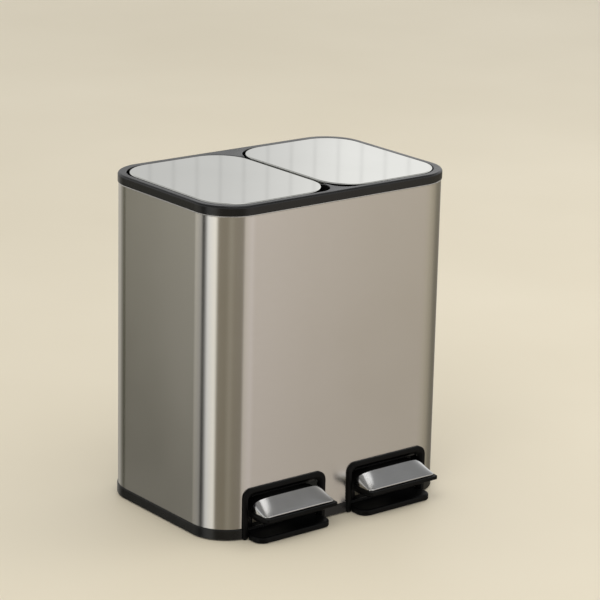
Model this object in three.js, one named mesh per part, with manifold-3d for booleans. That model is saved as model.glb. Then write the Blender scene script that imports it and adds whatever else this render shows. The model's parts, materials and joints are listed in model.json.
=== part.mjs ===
// Twin-compartment pedal bin: a steel body with two inner buckets, two flush lids and two pedals.
// Each pedal rocks a lever under the buckets. The lever's rear end lifts a push rod behind the inner
// back panel, and the rod's slotted head lifts a crank on its lid.
// Millimetres. +X is the bin's right side seen from the front, +Y the back, +Z up.
// The origin is on the floor, at the middle of the whole bin with its pedals.

import * as THREE from "three";
import { mergeVertices } from "three/addons/utils/BufferGeometryUtils.js";
import Module from "manifold-3d";

const wasm = await Module();
wasm.setup();

// ---- driving dimensions ----
const WIDTH = 400; // steel body, left to right
const DEPTH = 268; // steel body, front to back
const CORNER = 54; // plan radius of the steel body
const SHEET = 1; // steel sheet
const GAP = 0.3; // clearance between pieces that touch
const PAST = 5; // how far a cutting tool runs past what it cuts
const BITE = 0.5; // how far solids that are joined run into each other
const TRIM_OUT = 1.2; // how far the base ring and the top frame stand outside the steel
const RING_BOTTOM = 1.5;
const RING_TOP = 15.5;
const DECK_BOTTOM = 57; // deck that the buckets stand on
const DECK_TOP = 60;
const FRAME_BOTTOM = 445.5;
const FRAME_TOP = 458;
const STEEL_TOP = FRAME_BOTTOM + 6.5; // the steel tucks up into the frame
const LID_TOP = 458.8;
const LID_CORNER = 50; // plan radius of a lid
const PEDAL_X = 88.4; // middle of a pedal, left and right of the centre
const PEDAL_REACH = 42.6; // pedal lip in front of the steel body

const FRONT = -DEPTH / 2;
const BACK = DEPTH / 2;
const SIDE = WIDTH / 2;
const BODY_Y = (PEDAL_REACH - TRIM_OUT) / 2; // puts the origin at the middle of the whole bin

// ---- lids and their openings in the frame (right side; the left is mirrored) ----
const STRIP_SIDE = 10; // frame showing beside a lid
const STRIP_FRONT = 9.5;
const STRIP_BACK = 13;
const LID_GAP = 1.5;
const LID_GAP_BACK = 2;
const DIVIDER = 5; // bar of the frame between the two lids
const OPENING_FRONT_CORNER = 26; // inner front corner, squarer than the lid's
const OPENING_BACK_CORNER = 45.5; // room for the lid's back corners, which swing down and back
const LID = {
  x0: DIVIDER / 2 + LID_GAP,
  x1: SIDE + TRIM_OUT - STRIP_SIDE - LID_GAP,
  y0: FRONT - TRIM_OUT + STRIP_FRONT + LID_GAP,
  y1: BACK + TRIM_OUT - STRIP_BACK - LID_GAP_BACK,
};
const LID_X = (LID.x0 + LID.x1) / 2;
const COVER_SHEET = 0.8;
const COVER_EDGE_Z = 452; // lower edge of the cover's turned-down rim
const LID_BASE_TOP = LID_TOP - COVER_SHEET - GAP;
const LID_BASE_SHEET = 2.2;
const LID_BASE_UNDER = LID_BASE_TOP - LID_BASE_SHEET;
const LID_RIM = 3;
const LID_RIM_Z = 451.8;
const LID_RIB_HALF = 1;
const LID_RIB_ROWS = [-70, -15, 40];
const LID_RIB_COLUMNS = [-35, 35]; // from the lid's middle
const LID_RIB_BACK = 75;

// ---- lid hinge ----
const HINGE_Y = LID.y1 - 11;
const HINGE_PIN_R = 1.25;
const KNUCKLE_R = 2.6;
const KNUCKLE_HALF = 4;
const KNUCKLES = [-38, 38]; // from the lid's middle
const LID_KNUCKLE = 6; // length of a lid knuckle, one each side of the frame's knuckle
const KNUCKLE_GAP = 0.6;
const HINGE_Z = LID_TOP - COVER_SHEET - GAP - KNUCKLE_R; // as high in the lid as the knuckle allows

// ---- crank, push rod and damper ----
const CRANK_R = 16;
const CRANK_ANGLE = THREE.MathUtils.degToRad(40); // below horizontal, forward of the hinge
const CRANK_Y = HINGE_Y - CRANK_R * Math.cos(CRANK_ANGLE);
const CRANK_Z = HINGE_Z - CRANK_R * Math.sin(CRANK_ANGLE);
const CRANK_PIN_R = 1.75;
const CRANK_NEAR = 2.5; // crank cheeks, from the rod's middle
const CRANK_FAR = 5.5;
const CRANK_PIN_HALF = 6;
const ROD_Y = 116;
const ROD_R = 3;
const ROD_FOOT_R = 4.5;
const ROD_FOOT_GAP = 0.6; // between the foot and the lever below it
const ROD_HEAD_HALF = 2;
const SLOT_GAP = 0.6; // round the crank pin
const ROD_JOG_Z = 394; // where the rod turns forward to its head
const DAMPER_X = PEDAL_X + 20; // damper beside the rod
const DAMPER_R = 8;
const DAMPER_BORE_R = 5.2;
const DAMPER_BOTTOM = 300;
const DAMPER_BORE_TOP = 370;
const DAMPER_ARM_BOTTOM = 272;
const DAMPER_ARM_TOP = 276;
const PISTON_R = 4.8;
const PISTON_ROD_R = 1.8;
const PISTON_BOTTOM = 308;
const PISTON_TOP = 314;
const GUIDE_LOW_Z = 112;
const GUIDE_HIGH_Z = 380;
const GUIDE_HEIGHT = 10;
const GUIDE_REACH = 10; // guides, each side of the rod

// ---- pedals and levers ----
const PIVOT_Y = -44;
const PIVOT_Z = 22;
const PIVOT_R = 4;
const PIVOT_HALF = 30; // half the pin's length
const LEVER_HALF = 20;
const LEVER_SHEET = 2.5;
const LEVER_TOP = 27.5;
const LEVER_FRONT_TOP = 33;
const LEVER_FRONT_Y = FRONT - 26;
const LEVER_BACK_Y = ROD_Y + 8;
const FLANGE_FRONT_Y = -98;
const FLANGE_BACK_Y = 100;
const FLANGE_BOTTOM = 16;
const SURROUND_HALF = 68.8;
const SURROUND_TOP = 71;
const SURROUND_CORNER = 13;
const WINDOW_HALF = 58.8; // opening of a surround
const WINDOW_TOP = 60.5;
const WINDOW_CORNER = 8;
const BEZEL_FRONT = FRONT - 3.8;
const COLLAR_WALL = 2.5;
const COLLAR_BACK = FRONT + 3.6;
const PLATE_FRONT = FRONT - 38.4; // steel pedal plate
const PLATE_BACK = FRONT - 11; // back edge of the arch's crown
const PLATE_LEAN = 8; // how much further back its ends reach
const PLATE_HALF = 58;
const PLATE_FLAT_HALF = 18;
const PLATE_SQUARENESS = 3.2; // 2 would make each end a quarter ellipse
const PLATE_CORNER = 6;
const PLATE_SHEET = 1;
const PLATE_ROOM = 0.9; // between the plate's underside and the core that fills it
const PLATE_EDGE_Z = 39.8;
const PLATE_BACK_Z = 57.2;
const PLATE_FRONT_Z = 42;
const PLATE_FALL = (PLATE_BACK_Z - PLATE_FRONT_Z) / (PLATE_BACK - PLATE_FRONT);
const LIP_BOTTOM = 34.5;
const LIP_HALF = 60;
const LIP_CORNER = 4;
const HULL_HALF = 56.5;
const HULL_CORNER = 15;
const HULL_FRONT = FRONT - 32;
const HULL_BOTTOM = 26;
const TAIL_HALF = 52; // the part behind the plate, which runs into the bin
const TAIL_INSET = 2;
const TAIL_BACK = -124;
const PEDAL_SCREW_Y = FRONT - 10;
const PEDAL_SCREW_TOP = 43;
const PEDAL_SCREW_R = 2;
const PEDAL_SCREW_HEAD_R = 4;

// ---- front foot plates, rubber feet and buckets ----
const FOOT_PLATE_BOTTOM = 1;
const FOOT_PLATE_TOP = 9;
const FOOT_PLATE_FRONT = FRONT - 29.5;
const FOOT_PLATE_HALF = 62;
const FOOT_PLATE_CORNER = 14;
const FOOT_PLATE_BACK = -108;
const FOOT_SCREW_X = 45;
const FOOT_SCREW_Y = -116;
const FOOT_SCREW_R = 1.9;
const FOOT_SCREW_HEAD_R = 4;
const FOOT_SCREW_BOTTOM = 1.3;
const FOOT_SCREW_SEAT = 3.8;
const FOOT_SCREW_TOP = 16.5;
const RUBBER_R = 11;
const RUBBER_X = SIDE - 34;
const RUBBER_Y = BACK - 34;
const RUBBER_TOP = 4;
const BUCKET_HALF_X = 83;
const BUCKET_FRONT = -115;
const BUCKET_BACK = 81;
const BUCKET_TOP = 438;
const BUCKET_BOTTOM = DECK_TOP + GAP;
const BUCKET_CORNER = 50;
const BUCKET_RIM = 6;
const BUCKET_WALL = 2;
const BUCKET_TAPER = 0.955; // size of the bottom against the top
const BUCKET_FLOOR = 2.5;
const BUCKET_RIM_DEPTH = 12;
const BUCKET_RIM_WALL = 1.8;
const HAND_HOLE_HALF = 42;
const HAND_HOLE_BOTTOM = BUCKET_TOP - 46;
const HAND_HOLE_TOP = BUCKET_TOP - 22;
const HAND_HOLE_CORNER = 11;
const PANEL_FRONT = 84.5; // inner back panel that hides the rods
const PANEL_SHEET = 2;
const PANEL_TOP = 435.5;
const PANEL_RIBS = [-146, 0, 146];
const PANEL_RIB_HALF = 1;
const PANEL_RIB_TOP = 430;
const BUMPER_R = 3.5;
const BUMPER_REACH = 41.5; // from the centre of a lid's rounded corner
const STOP_TOP = 449; // ledges that the closed lids rest on
const STOP_WIDTH = 8;
const STOP_HEIGHT = 3;
const STOP_START = BUMPER_REACH - 2;
const STOP_END = { inner: 63.2, outer: 59.5 }; // each ends in the frame's walls

// ---- materials ----
function material(color, roughness, metalness) {
  return new THREE.MeshStandardMaterial({ color, roughness, metalness });
}
const BRUSHED_STEEL = material(0xb5ada0, 0.38, 1);
const LID_STEEL = material(0xd6d4cf, 0.12, 1);
const ZINC_STEEL = material(0xa9abad, 0.35, 1);
const BLACK_PLASTIC = material(0x17171a, 0.45, 0);
const BUCKET_PLASTIC = material(0x2b2c2e, 0.6, 0);
const BLACK_RUBBER = material(0x0e0e0f, 0.9, 0);

// ---- solids ----
function solidOf(source) {
  const bare = source.clone();
  bare.deleteAttribute("normal");
  bare.deleteAttribute("uv");
  const merged = mergeVertices(bare, 1e-4);
  const vertProperties = new Float32Array(merged.attributes.position.array);
  const triVerts = new Uint32Array(merged.index.array);
  return new wasm.Manifold(new wasm.Mesh({ numProp: 3, vertProperties, triVerts }));
}

function geometryOf(solid) {
  const mesh = solid.getMesh();
  const geometry = new THREE.BufferGeometry();
  const points = new Float32Array(mesh.numVert * 3);
  for (let i = 0; i < mesh.numVert; i += 1) {
    points.set(mesh.vertProperties.subarray(i * mesh.numProp, i * mesh.numProp + 3), i * 3);
  }
  geometry.setAttribute("position", new THREE.BufferAttribute(points, 3));
  geometry.setIndex(Array.from(mesh.triVerts));
  geometry.computeVertexNormals();
  return geometry;
}

function block(x0, x1, y0, y1, z0, z1) {
  const geometry = new THREE.BoxGeometry(x1 - x0, y1 - y0, z1 - z0);
  geometry.translate((x0 + x1) / 2, (y0 + y1) / 2, (z0 + z1) / 2);
  return solidOf(geometry);
}

function upright(radius, x, y, z0, z1, sides = 14) {
  const geometry = new THREE.CylinderGeometry(radius, radius, z1 - z0, sides);
  geometry.rotateX(Math.PI / 2);
  geometry.translate(x, y, (z0 + z1) / 2);
  return solidOf(geometry);
}

function axle(radius, x0, x1, y, z, sides = 12) {
  const geometry = new THREE.CylinderGeometry(radius, radius, x1 - x0, sides);
  geometry.rotateZ(Math.PI / 2);
  geometry.translate((x0 + x1) / 2, y, z);
  return solidOf(geometry);
}

// A rectangle with its own radius at each corner: lower left, lower right, upper right, upper left.
function roundedShape(x0, x1, y0, y1, radii) {
  const [lowerLeft, lowerRight, upperRight, upperLeft] = Array.isArray(radii)
    ? radii
    : [radii, radii, radii, radii];
  const corners = [
    [x0, y0, lowerLeft, Math.PI],
    [x1, y0, lowerRight, 1.5 * Math.PI],
    [x1, y1, upperRight, 0],
    [x0, y1, upperLeft, 0.5 * Math.PI],
  ];
  const shape = new THREE.Shape();
  corners.forEach(([x, y, radius, start], index) => {
    const centreX = x === x0 ? x + radius : x - radius;
    const centreY = y === y0 ? y + radius : y - radius;
    const startX = centreX + radius * Math.cos(start);
    const startY = centreY + radius * Math.sin(start);
    if (index === 0) shape.moveTo(startX, startY);
    else shape.lineTo(startX, startY);
    if (radius > 0) shape.absarc(centreX, centreY, radius, start, start + Math.PI / 2, false);
  });
  shape.closePath();
  return shape;
}

function polygonShape(points) {
  return new THREE.Shape(points.map(([x, y]) => new THREE.Vector2(x, y)));
}

// Extrudes a plan outline from z0 to z1.
function prism(shape, z0, z1, curveSegments = 6) {
  const geometry = new THREE.ExtrudeGeometry(shape, { depth: z1 - z0, bevelEnabled: false, curveSegments });
  geometry.translate(0, 0, z0);
  return solidOf(geometry);
}

// Extrudes an outline drawn in X and Z from y0 to y1.
function facePrism(shape, y0, y1, curveSegments = 4) {
  const geometry = new THREE.ExtrudeGeometry(shape, { depth: y1 - y0, bevelEnabled: false, curveSegments });
  geometry.rotateX(Math.PI / 2);
  geometry.translate(0, y1, 0);
  return solidOf(geometry);
}

// Extrudes an outline drawn in Y and Z from x0 to x1.
function sidePrism(points, x0, x1) {
  const shape = polygonShape(points);
  const geometry = new THREE.ExtrudeGeometry(shape, { depth: x1 - x0, bevelEnabled: false });
  geometry.rotateX(Math.PI / 2);
  geometry.rotateZ(Math.PI / 2);
  geometry.translate(x0, 0, 0);
  return solidOf(geometry);
}

// The body's plan outline, grown by an offset.
function bodyOutline(offset) {
  return roundedShape(-SIDE - offset, SIDE + offset, FRONT - offset, BACK + offset, CORNER + offset);
}

function union(...solids) {
  return solids.reduce((sum, next) => sum.add(next));
}

function cut(solid, ...tools) {
  return tools.reduce((rest, tool) => rest.subtract(tool), solid);
}

// ---- assembly ----
const bin = new THREE.Group();
const body = new THREE.Group();
body.position.y = BODY_Y;
bin.add(body);

function place(name, solid, finish) {
  const mesh = new THREE.Mesh(geometryOf(solid), finish);
  mesh.name = name;
  body.add(mesh);
}

const SIDES = [
  ["left", -1],
  ["right", 1],
];

// Makes a right-hand piece and its mirrored left-hand twin.
function placePair(name, solid, finish) {
  for (const [side, sign] of SIDES) {
    const piece = sign > 0 ? solid : solid.mirror([1, 0, 0]);
    place(`${side}_${name}`, piece, finish);
  }
}

// ---- steel body ----
function windowShape(grow, bottom) {
  const half = WINDOW_HALF + grow;
  const corner = WINDOW_CORNER + grow;
  const top = WINDOW_TOP + grow;
  return roundedShape(PEDAL_X - half, PEDAL_X + half, bottom, top, [0, 0, corner, corner]);
}

function bothSides(solid) {
  return solid.add(solid.mirror([1, 0, 0]));
}

function outerShell() {
  const bottom = RING_TOP + GAP;
  const wall = cut(
    prism(bodyOutline(0), bottom, STEEL_TOP),
    prism(bodyOutline(-SHEET), bottom - PAST, STEEL_TOP + PAST),
  );
  const windows = facePrism(windowShape(COLLAR_WALL + GAP, 0), FRONT - PAST, FRONT + PAST);
  return cut(wall, bothSides(windows));
}

// ---- base: floor ring with an upstand inside the steel, and the deck that stands on it ----
const UPSTAND_INSET = SHEET + GAP;
const UPSTAND_WALL = 2.2;
const SILL_HALF = WINDOW_HALF + 8; // bar that joins the upstand under a pedal window
const SILL_FRONT = FRONT + 2.5;
const SILL_BACK = FRONT + 6.5;
const SILL_BOTTOM = FOOT_PLATE_TOP + 0.5;
const SILL_TOP = SILL_BOTTOM + 3.5;

function baseRing() {
  const ring = prism(bodyOutline(TRIM_OUT), RING_BOTTOM, RING_TOP);
  const upstand = prism(bodyOutline(-UPSTAND_INSET), RING_BOTTOM, DECK_BOTTOM - GAP);
  const inside = bodyOutline(-UPSTAND_INSET - UPSTAND_WALL);
  const hollow = prism(inside, RING_BOTTOM - PAST, DECK_BOTTOM + PAST);
  const sill = block(PEDAL_X - SILL_HALF, PEDAL_X + SILL_HALF, SILL_FRONT, SILL_BACK, SILL_BOTTOM, SILL_TOP);
  const walls = union(cut(union(ring, upstand), hollow), bothSides(sill));
  const window = facePrism(windowShape(COLLAR_WALL + GAP, 0), FRONT - PAST, COLLAR_BACK + GAP);
  const bezelHalf = SURROUND_HALF + GAP;
  const bezelRoom = block(PEDAL_X - bezelHalf, PEDAL_X + bezelHalf, FRONT - PAST, FRONT, 0, RING_TOP + PAST);
  return cut(walls, bothSides(union(window, bezelRoom)));
}

const ROD_HOLE_R = 5;
const DECK_RIB_HALF = 1.5; // rib down the middle of the deck's underside
const DECK_RIB_BOTTOM = 20;
const BRACKETS = [-25, 25]; // lever brackets, from the pedal's middle
const BRACKET_HALF = 2;
const BRACKET_REACH = 11;
const BRACKET_BOTTOM = 12;
const SCREW_BOSS_R = 5;
const SCREW_HOLE_R = 2.2;
const SCREW_HOLE_TOP = 18;

// The deck carries the buckets. Brackets for the lever pivots and bosses for the feet hang from it.
function bucketDeck() {
  const plate = prism(bodyOutline(-UPSTAND_INSET), DECK_BOTTOM, DECK_TOP);
  const rodHole = upright(ROD_HOLE_R, PEDAL_X, ROD_Y, DECK_BOTTOM - PAST, DECK_TOP + PAST);
  const window = facePrism(windowShape(COLLAR_WALL + GAP, 0), FRONT - PAST, COLLAR_BACK + GAP);
  const deck = cut(plate, bothSides(union(rodHole, window)));

  const inside = UPSTAND_INSET + UPSTAND_WALL + GAP;
  const joinZ = DECK_BOTTOM + BITE;
  const pieces = [
    block(-DECK_RIB_HALF, DECK_RIB_HALF, FRONT + inside, BACK - inside, DECK_RIB_BOTTOM, joinZ),
  ];
  for (const offset of BRACKETS) {
    const x0 = PEDAL_X + offset - BRACKET_HALF;
    const x1 = PEDAL_X + offset + BRACKET_HALF;
    const bracket = block(x0, x1, PIVOT_Y - BRACKET_REACH, PIVOT_Y + BRACKET_REACH, BRACKET_BOTTOM, joinZ);
    pieces.push(bothSides(cut(bracket, axle(PIVOT_R + GAP, x0 - PAST, x1 + PAST, PIVOT_Y, PIVOT_Z))));
  }
  for (const offset of [-FOOT_SCREW_X, FOOT_SCREW_X]) {
    const x = PEDAL_X + offset;
    const boss = upright(SCREW_BOSS_R, x, FOOT_SCREW_Y, FOOT_PLATE_TOP + GAP, joinZ);
    pieces.push(bothSides(cut(boss, upright(SCREW_HOLE_R, x, FOOT_SCREW_Y, 0, SCREW_HOLE_TOP, 12))));
  }
  for (const y of [-RUBBER_Y, RUBBER_Y]) {
    pieces.push(bothSides(upright(RUBBER_R + 2, RUBBER_X, y, RUBBER_TOP + GAP, joinZ)));
  }
  return union(deck, ...pieces);
}

// ---- top frame: rim over the steel, two lid openings, divider, hinge brackets and lid stops ----
function openingShape(grow) {
  const front = OPENING_FRONT_CORNER + grow;
  const outer = LID_CORNER + LID_GAP + grow;
  const back = OPENING_BACK_CORNER + grow;
  return roundedShape(
    LID.x0 - LID_GAP - grow,
    LID.x1 + LID_GAP + grow,
    LID.y0 - LID_GAP - grow,
    LID.y1 + LID_GAP_BACK + grow,
    [front, outer, back, back],
  );
}

// Carries a hinge knuckle clear of the lid's rear edge, which swings down behind it.
// Its outline is in Y and Z from the hinge.
function hingeBracket(x) {
  const outline = [
    [-7.5, 0.8],
    [-7.5, -20.5],
    [14, -20.5],
    [14, -15.5],
    [-3.2, -15.5],
    [-3.2, -4],
    [0, -2.4],
    [0, 1.8],
  ].map(([y, z]) => [HINGE_Y + y, HINGE_Z + z]);
  const arm = sidePrism(outline, x - KNUCKLE_HALF, x + KNUCKLE_HALF);
  const knuckle = axle(KNUCKLE_R, x - KNUCKLE_HALF, x + KNUCKLE_HALF, HINGE_Y, HINGE_Z);
  const reach = KNUCKLE_HALF + PAST;
  const bore = axle(HINGE_PIN_R + GAP, x - reach, x + reach, HINGE_Y, HINGE_Z);
  return cut(union(arm, knuckle), bore);
}

// A bumper sits on the diagonal of each front corner of a lid: name, place and the corner's direction.
function bumperPlaces() {
  const reach = BUMPER_REACH * Math.SQRT1_2;
  const y = LID.y0 + LID_CORNER - reach;
  return [
    ["inner", LID.x0 + LID_CORNER - reach, y, -135],
    ["outer", LID.x1 - LID_CORNER + reach, y, -45],
  ];
}

function lidStop(position, x, y, degrees) {
  const start = STOP_START - BUMPER_REACH;
  const end = STOP_END[position] - BUMPER_REACH;
  const geometry = new THREE.BoxGeometry(end - start, STOP_WIDTH, STOP_HEIGHT);
  geometry.translate((start + end) / 2, 0, 0);
  geometry.rotateZ(THREE.MathUtils.degToRad(degrees));
  geometry.translate(x, y, STOP_TOP - STOP_HEIGHT / 2);
  return solidOf(geometry);
}

const FRAME_BEVEL = 3;
const FRAME_SKIN = 3;
const FRAME_WALL = 2;
const OPENING_BOTTOM = 436; // lower edge of the walls round the openings
const DIVIDER_DIP = 2.5; // the divider's top is lower than the rim
const DIVIDER_DIP_INSET = 28;

function topFrame() {
  const rimGeometry = new THREE.ExtrudeGeometry(bodyOutline(TRIM_OUT - FRAME_BEVEL), {
    depth: FRAME_TOP - FRAME_BOTTOM,
    bevelThickness: FRAME_BEVEL,
    bevelSize: FRAME_BEVEL,
    bevelSegments: 1,
    curveSegments: 6,
  });
  rimGeometry.translate(0, 0, FRAME_BOTTOM - FRAME_BEVEL);
  const below = prism(bodyOutline(PAST), FRAME_BOTTOM - 2 * PAST, FRAME_BOTTOM);
  const steelRoom = cut(
    prism(bodyOutline(GAP), FRAME_BOTTOM - PAST, STEEL_TOP + GAP),
    prism(bodyOutline(-SHEET - GAP), FRAME_BOTTOM - 2 * PAST, STEEL_TOP + PAST),
  );
  const hollow = prism(bodyOutline(-SHEET - GAP - FRAME_WALL), FRAME_BOTTOM - PAST, FRAME_TOP - FRAME_SKIN);
  const rim = cut(solidOf(rimGeometry), below, steelRoom, hollow);

  const walls = bothSides(prism(openingShape(FRAME_WALL), OPENING_BOTTOM, FRAME_TOP - FRAME_SKIN + BITE));
  const openings = bothSides(prism(openingShape(0), OPENING_BOTTOM - PAST, FRAME_TOP + PAST));
  const dipFront = LID.y0 + DIVIDER_DIP_INSET;
  const dipBack = LID.y1 - DIVIDER_DIP_INSET;
  const dip = block(-DIVIDER, DIVIDER, dipFront, dipBack, FRAME_TOP - DIVIDER_DIP, FRAME_TOP + PAST);
  const frame = cut(union(rim, walls), openings, dip);

  const brackets = KNUCKLES.map((offset) => bothSides(hingeBracket(LID_X + offset)));
  const stops = bumperPlaces().map((bumperPlace) => bothSides(lidStop(...bumperPlace)));
  return union(frame, ...brackets, ...stops);
}

// ---- inner back panel with stiffening ribs ----
function innerBackPanel() {
  const halfWidth = SIDE - 3 * SHEET;
  const bottom = DECK_TOP + GAP;
  const panelBack = PANEL_FRONT + PANEL_SHEET;
  const sheet = block(-halfWidth, halfWidth, PANEL_FRONT, panelBack, bottom, PANEL_TOP);
  const ribBack = BACK - SHEET - GAP;
  const ribs = PANEL_RIBS.map((x) =>
    block(x - PANEL_RIB_HALF, x + PANEL_RIB_HALF, panelBack - BITE, ribBack, bottom, PANEL_RIB_TOP),
  );
  return union(sheet, ...ribs);
}

// ---- pedal surround: bezel in front of the steel and a collar through it ----
function pedalSurround() {
  const x0 = PEDAL_X - SURROUND_HALF;
  const x1 = PEDAL_X + SURROUND_HALF;
  const corners = [0, 0, SURROUND_CORNER, SURROUND_CORNER];
  const bezel = facePrism(roundedShape(x0, x1, RING_BOTTOM, SURROUND_TOP, corners), BEZEL_FRONT, FRONT - GAP);
  const collar = facePrism(windowShape(COLLAR_WALL, RING_BOTTOM), FRONT - GAP - BITE, COLLAR_BACK);
  const window = facePrism(windowShape(0, 0), BEZEL_FRONT - PAST, COLLAR_BACK + PAST);
  return cut(union(bezel, collar), window);
}

// ---- foot plate: stands in front of the bin, with a tongue under it held by two screws ----
function footPlate() {
  const x0 = PEDAL_X - FOOT_PLATE_HALF;
  const x1 = PEDAL_X + FOOT_PLATE_HALF;
  const wideBack = BEZEL_FRONT - GAP;
  const corners = [FOOT_PLATE_CORNER, FOOT_PLATE_CORNER, 0, 0];
  const outline = roundedShape(x0, x1, FOOT_PLATE_FRONT, wideBack, corners);
  const wide = prism(outline, FOOT_PLATE_BOTTOM, FOOT_PLATE_TOP);
  const tongueHalf = WINDOW_HALF - 2 * GAP;
  const tongue = block(PEDAL_X - tongueHalf, PEDAL_X + tongueHalf, wideBack - BITE, FOOT_PLATE_BACK,
    FOOT_PLATE_BOTTOM, FOOT_PLATE_TOP);
  const holes = [-FOOT_SCREW_X, FOOT_SCREW_X].map((offset) => {
    const x = PEDAL_X + offset;
    const shank = upright(SCREW_HOLE_R, x, FOOT_SCREW_Y, 0, FOOT_PLATE_TOP + PAST, 12);
    return union(shank, upright(FOOT_SCREW_HEAD_R + BITE, x, FOOT_SCREW_Y, 0, FOOT_SCREW_SEAT + GAP));
  });
  return cut(union(wide, tongue), ...holes);
}

function footScrew(x) {
  const head = upright(FOOT_SCREW_HEAD_R, x, FOOT_SCREW_Y, FOOT_SCREW_BOTTOM, FOOT_SCREW_SEAT);
  return union(head, upright(FOOT_SCREW_R, x, FOOT_SCREW_Y, FOOT_SCREW_SEAT - BITE, FOOT_SCREW_TOP, 10));
}

// ---- bucket: tapered, with a folded rim and two hand holes ----
function taperedPrism(inset, z0, z1) {
  const shape = roundedShape(
    -BUCKET_HALF_X + inset,
    BUCKET_HALF_X - inset,
    (BUCKET_FRONT - BUCKET_BACK) / 2 + inset,
    (BUCKET_BACK - BUCKET_FRONT) / 2 - inset,
    BUCKET_CORNER - inset,
  );
  const depth = z1 - z0;
  const geometry = new THREE.ExtrudeGeometry(shape, { depth, bevelEnabled: false, curveSegments: 5 });
  const points = geometry.attributes.position;
  for (let i = 0; i < points.count; i += 1) {
    const z = z0 + points.getZ(i);
    const share = (z - BUCKET_BOTTOM) / (BUCKET_TOP - BUCKET_BOTTOM);
    const scale = BUCKET_TAPER + (1 - BUCKET_TAPER) * share;
    const y = points.getY(i) * scale + (BUCKET_FRONT + BUCKET_BACK) / 2;
    points.setXYZ(i, LID_X + points.getX(i) * scale, y, z);
  }
  return solidOf(geometry);
}

function bucket() {
  const outer = taperedPrism(BUCKET_RIM, BUCKET_BOTTOM, BUCKET_TOP);
  const inner = taperedPrism(BUCKET_RIM + BUCKET_WALL, BUCKET_BOTTOM + BUCKET_FLOOR, BUCKET_TOP + PAST);
  const rimBottom = BUCKET_TOP - BUCKET_RIM_DEPTH;
  const rim = taperedPrism(0, rimBottom, BUCKET_TOP);
  const rimRoom = taperedPrism(BUCKET_RIM_WALL, rimBottom - PAST, BUCKET_TOP - BUCKET_WALL);
  const x0 = LID_X - HAND_HOLE_HALF;
  const x1 = LID_X + HAND_HOLE_HALF;
  const holeShape = roundedShape(x0, x1, HAND_HOLE_BOTTOM, HAND_HOLE_TOP, HAND_HOLE_CORNER);
  const handHole = facePrism(holeShape, BUCKET_FRONT - PAST, BUCKET_BACK + PAST);
  return cut(union(outer, cut(rim, rimRoom)), inner, handHole);
}

// ---- lid: plastic base, steel cover, bumpers ----
function lidOutline(inset) {
  return roundedShape(
    LID.x0 + inset,
    LID.x1 - inset,
    LID.y0 + inset,
    LID.y1 - inset,
    LID_CORNER - inset,
  );
}

function lidCover() {
  const cap = prism(lidOutline(0), COVER_EDGE_Z, LID_TOP);
  return cut(cap, prism(lidOutline(COVER_SHEET), COVER_EDGE_Z - PAST, LID_TOP - COVER_SHEET));
}

// One of the two cheeks that hold the crank pin under a lid.
function crankCheek(x0, x1) {
  const outline = [
    [HINGE_Y - 5, LID_BASE_UNDER + BITE],
    [HINGE_Y - 20, LID_BASE_UNDER + BITE],
    [CRANK_Y - 4, CRANK_Z],
    [CRANK_Y - 2.5, CRANK_Z - 3.6],
    [CRANK_Y + 2.5, CRANK_Z - 3.6],
    [CRANK_Y + 4, CRANK_Z],
  ];
  const bore = axle(CRANK_PIN_R + GAP, x0 - PAST, x1 + PAST, CRANK_Y, CRANK_Z);
  return cut(sidePrism(outline, x0, x1), bore);
}

function lidKnuckle(x0, x1) {
  const barrel = axle(KNUCKLE_R, x0, x1, HINGE_Y, HINGE_Z);
  const web = block(x0, x1, HINGE_Y - KNUCKLE_R, HINGE_Y + KNUCKLE_R, HINGE_Z, LID_BASE_UNDER + BITE);
  return union(barrel, web);
}

function lidRibs() {
  const low = LID_RIM_Z + BITE;
  const high = LID_BASE_UNDER + BITE;
  const rows = LID_RIB_ROWS.map((y) =>
    block(LID.x0 + LID_RIM, LID.x1 - LID_RIM, y - LID_RIB_HALF, y + LID_RIB_HALF, low, high),
  );
  const columns = LID_RIB_COLUMNS.map((offset) => {
    const x = LID_X + offset;
    return block(x - LID_RIB_HALF, x + LID_RIB_HALF, LID.y0 + LID_RIM, LID_RIB_BACK, low, high);
  });
  return [...rows, ...columns];
}

function lidBase() {
  const inset = COVER_SHEET + GAP;
  const plate = prism(lidOutline(inset), LID_RIM_Z, LID_BASE_TOP);
  const hollow = prism(lidOutline(inset + LID_RIM), LID_RIM_Z - PAST, LID_BASE_UNDER);
  const roomHalf = KNUCKLE_HALF + KNUCKLE_GAP;
  const knuckleRooms = KNUCKLES.map((offset) => {
    const x = LID_X + offset;
    return block(x - roomHalf, x + roomHalf, HINGE_Y - 9, HINGE_Y + 5, LID_RIM_Z - PAST, LID_TOP);
  });
  const knuckles = KNUCKLES.flatMap((offset) => {
    const x = LID_X + offset;
    return [
      lidKnuckle(x - roomHalf - LID_KNUCKLE, x - roomHalf),
      lidKnuckle(x + roomHalf, x + roomHalf + LID_KNUCKLE),
    ];
  });
  const cheeks = [
    crankCheek(PEDAL_X - CRANK_FAR, PEDAL_X - CRANK_NEAR),
    crankCheek(PEDAL_X + CRANK_NEAR, PEDAL_X + CRANK_FAR),
  ];
  const solid = union(cut(plate, hollow, ...knuckleRooms), ...lidRibs(), ...knuckles, ...cheeks);
  return cut(solid, ...hingePins(GAP));
}

// One short pin through each frame knuckle and the lid knuckles beside it.
function hingePins(clearance) {
  const half = KNUCKLE_HALF + KNUCKLE_GAP + LID_KNUCKLE - 1 + clearance;
  return KNUCKLES.map((offset) => {
    const x = LID_X + offset;
    return axle(HINGE_PIN_R + clearance, x - half, x + half, HINGE_Y, HINGE_Z);
  });
}

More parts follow.
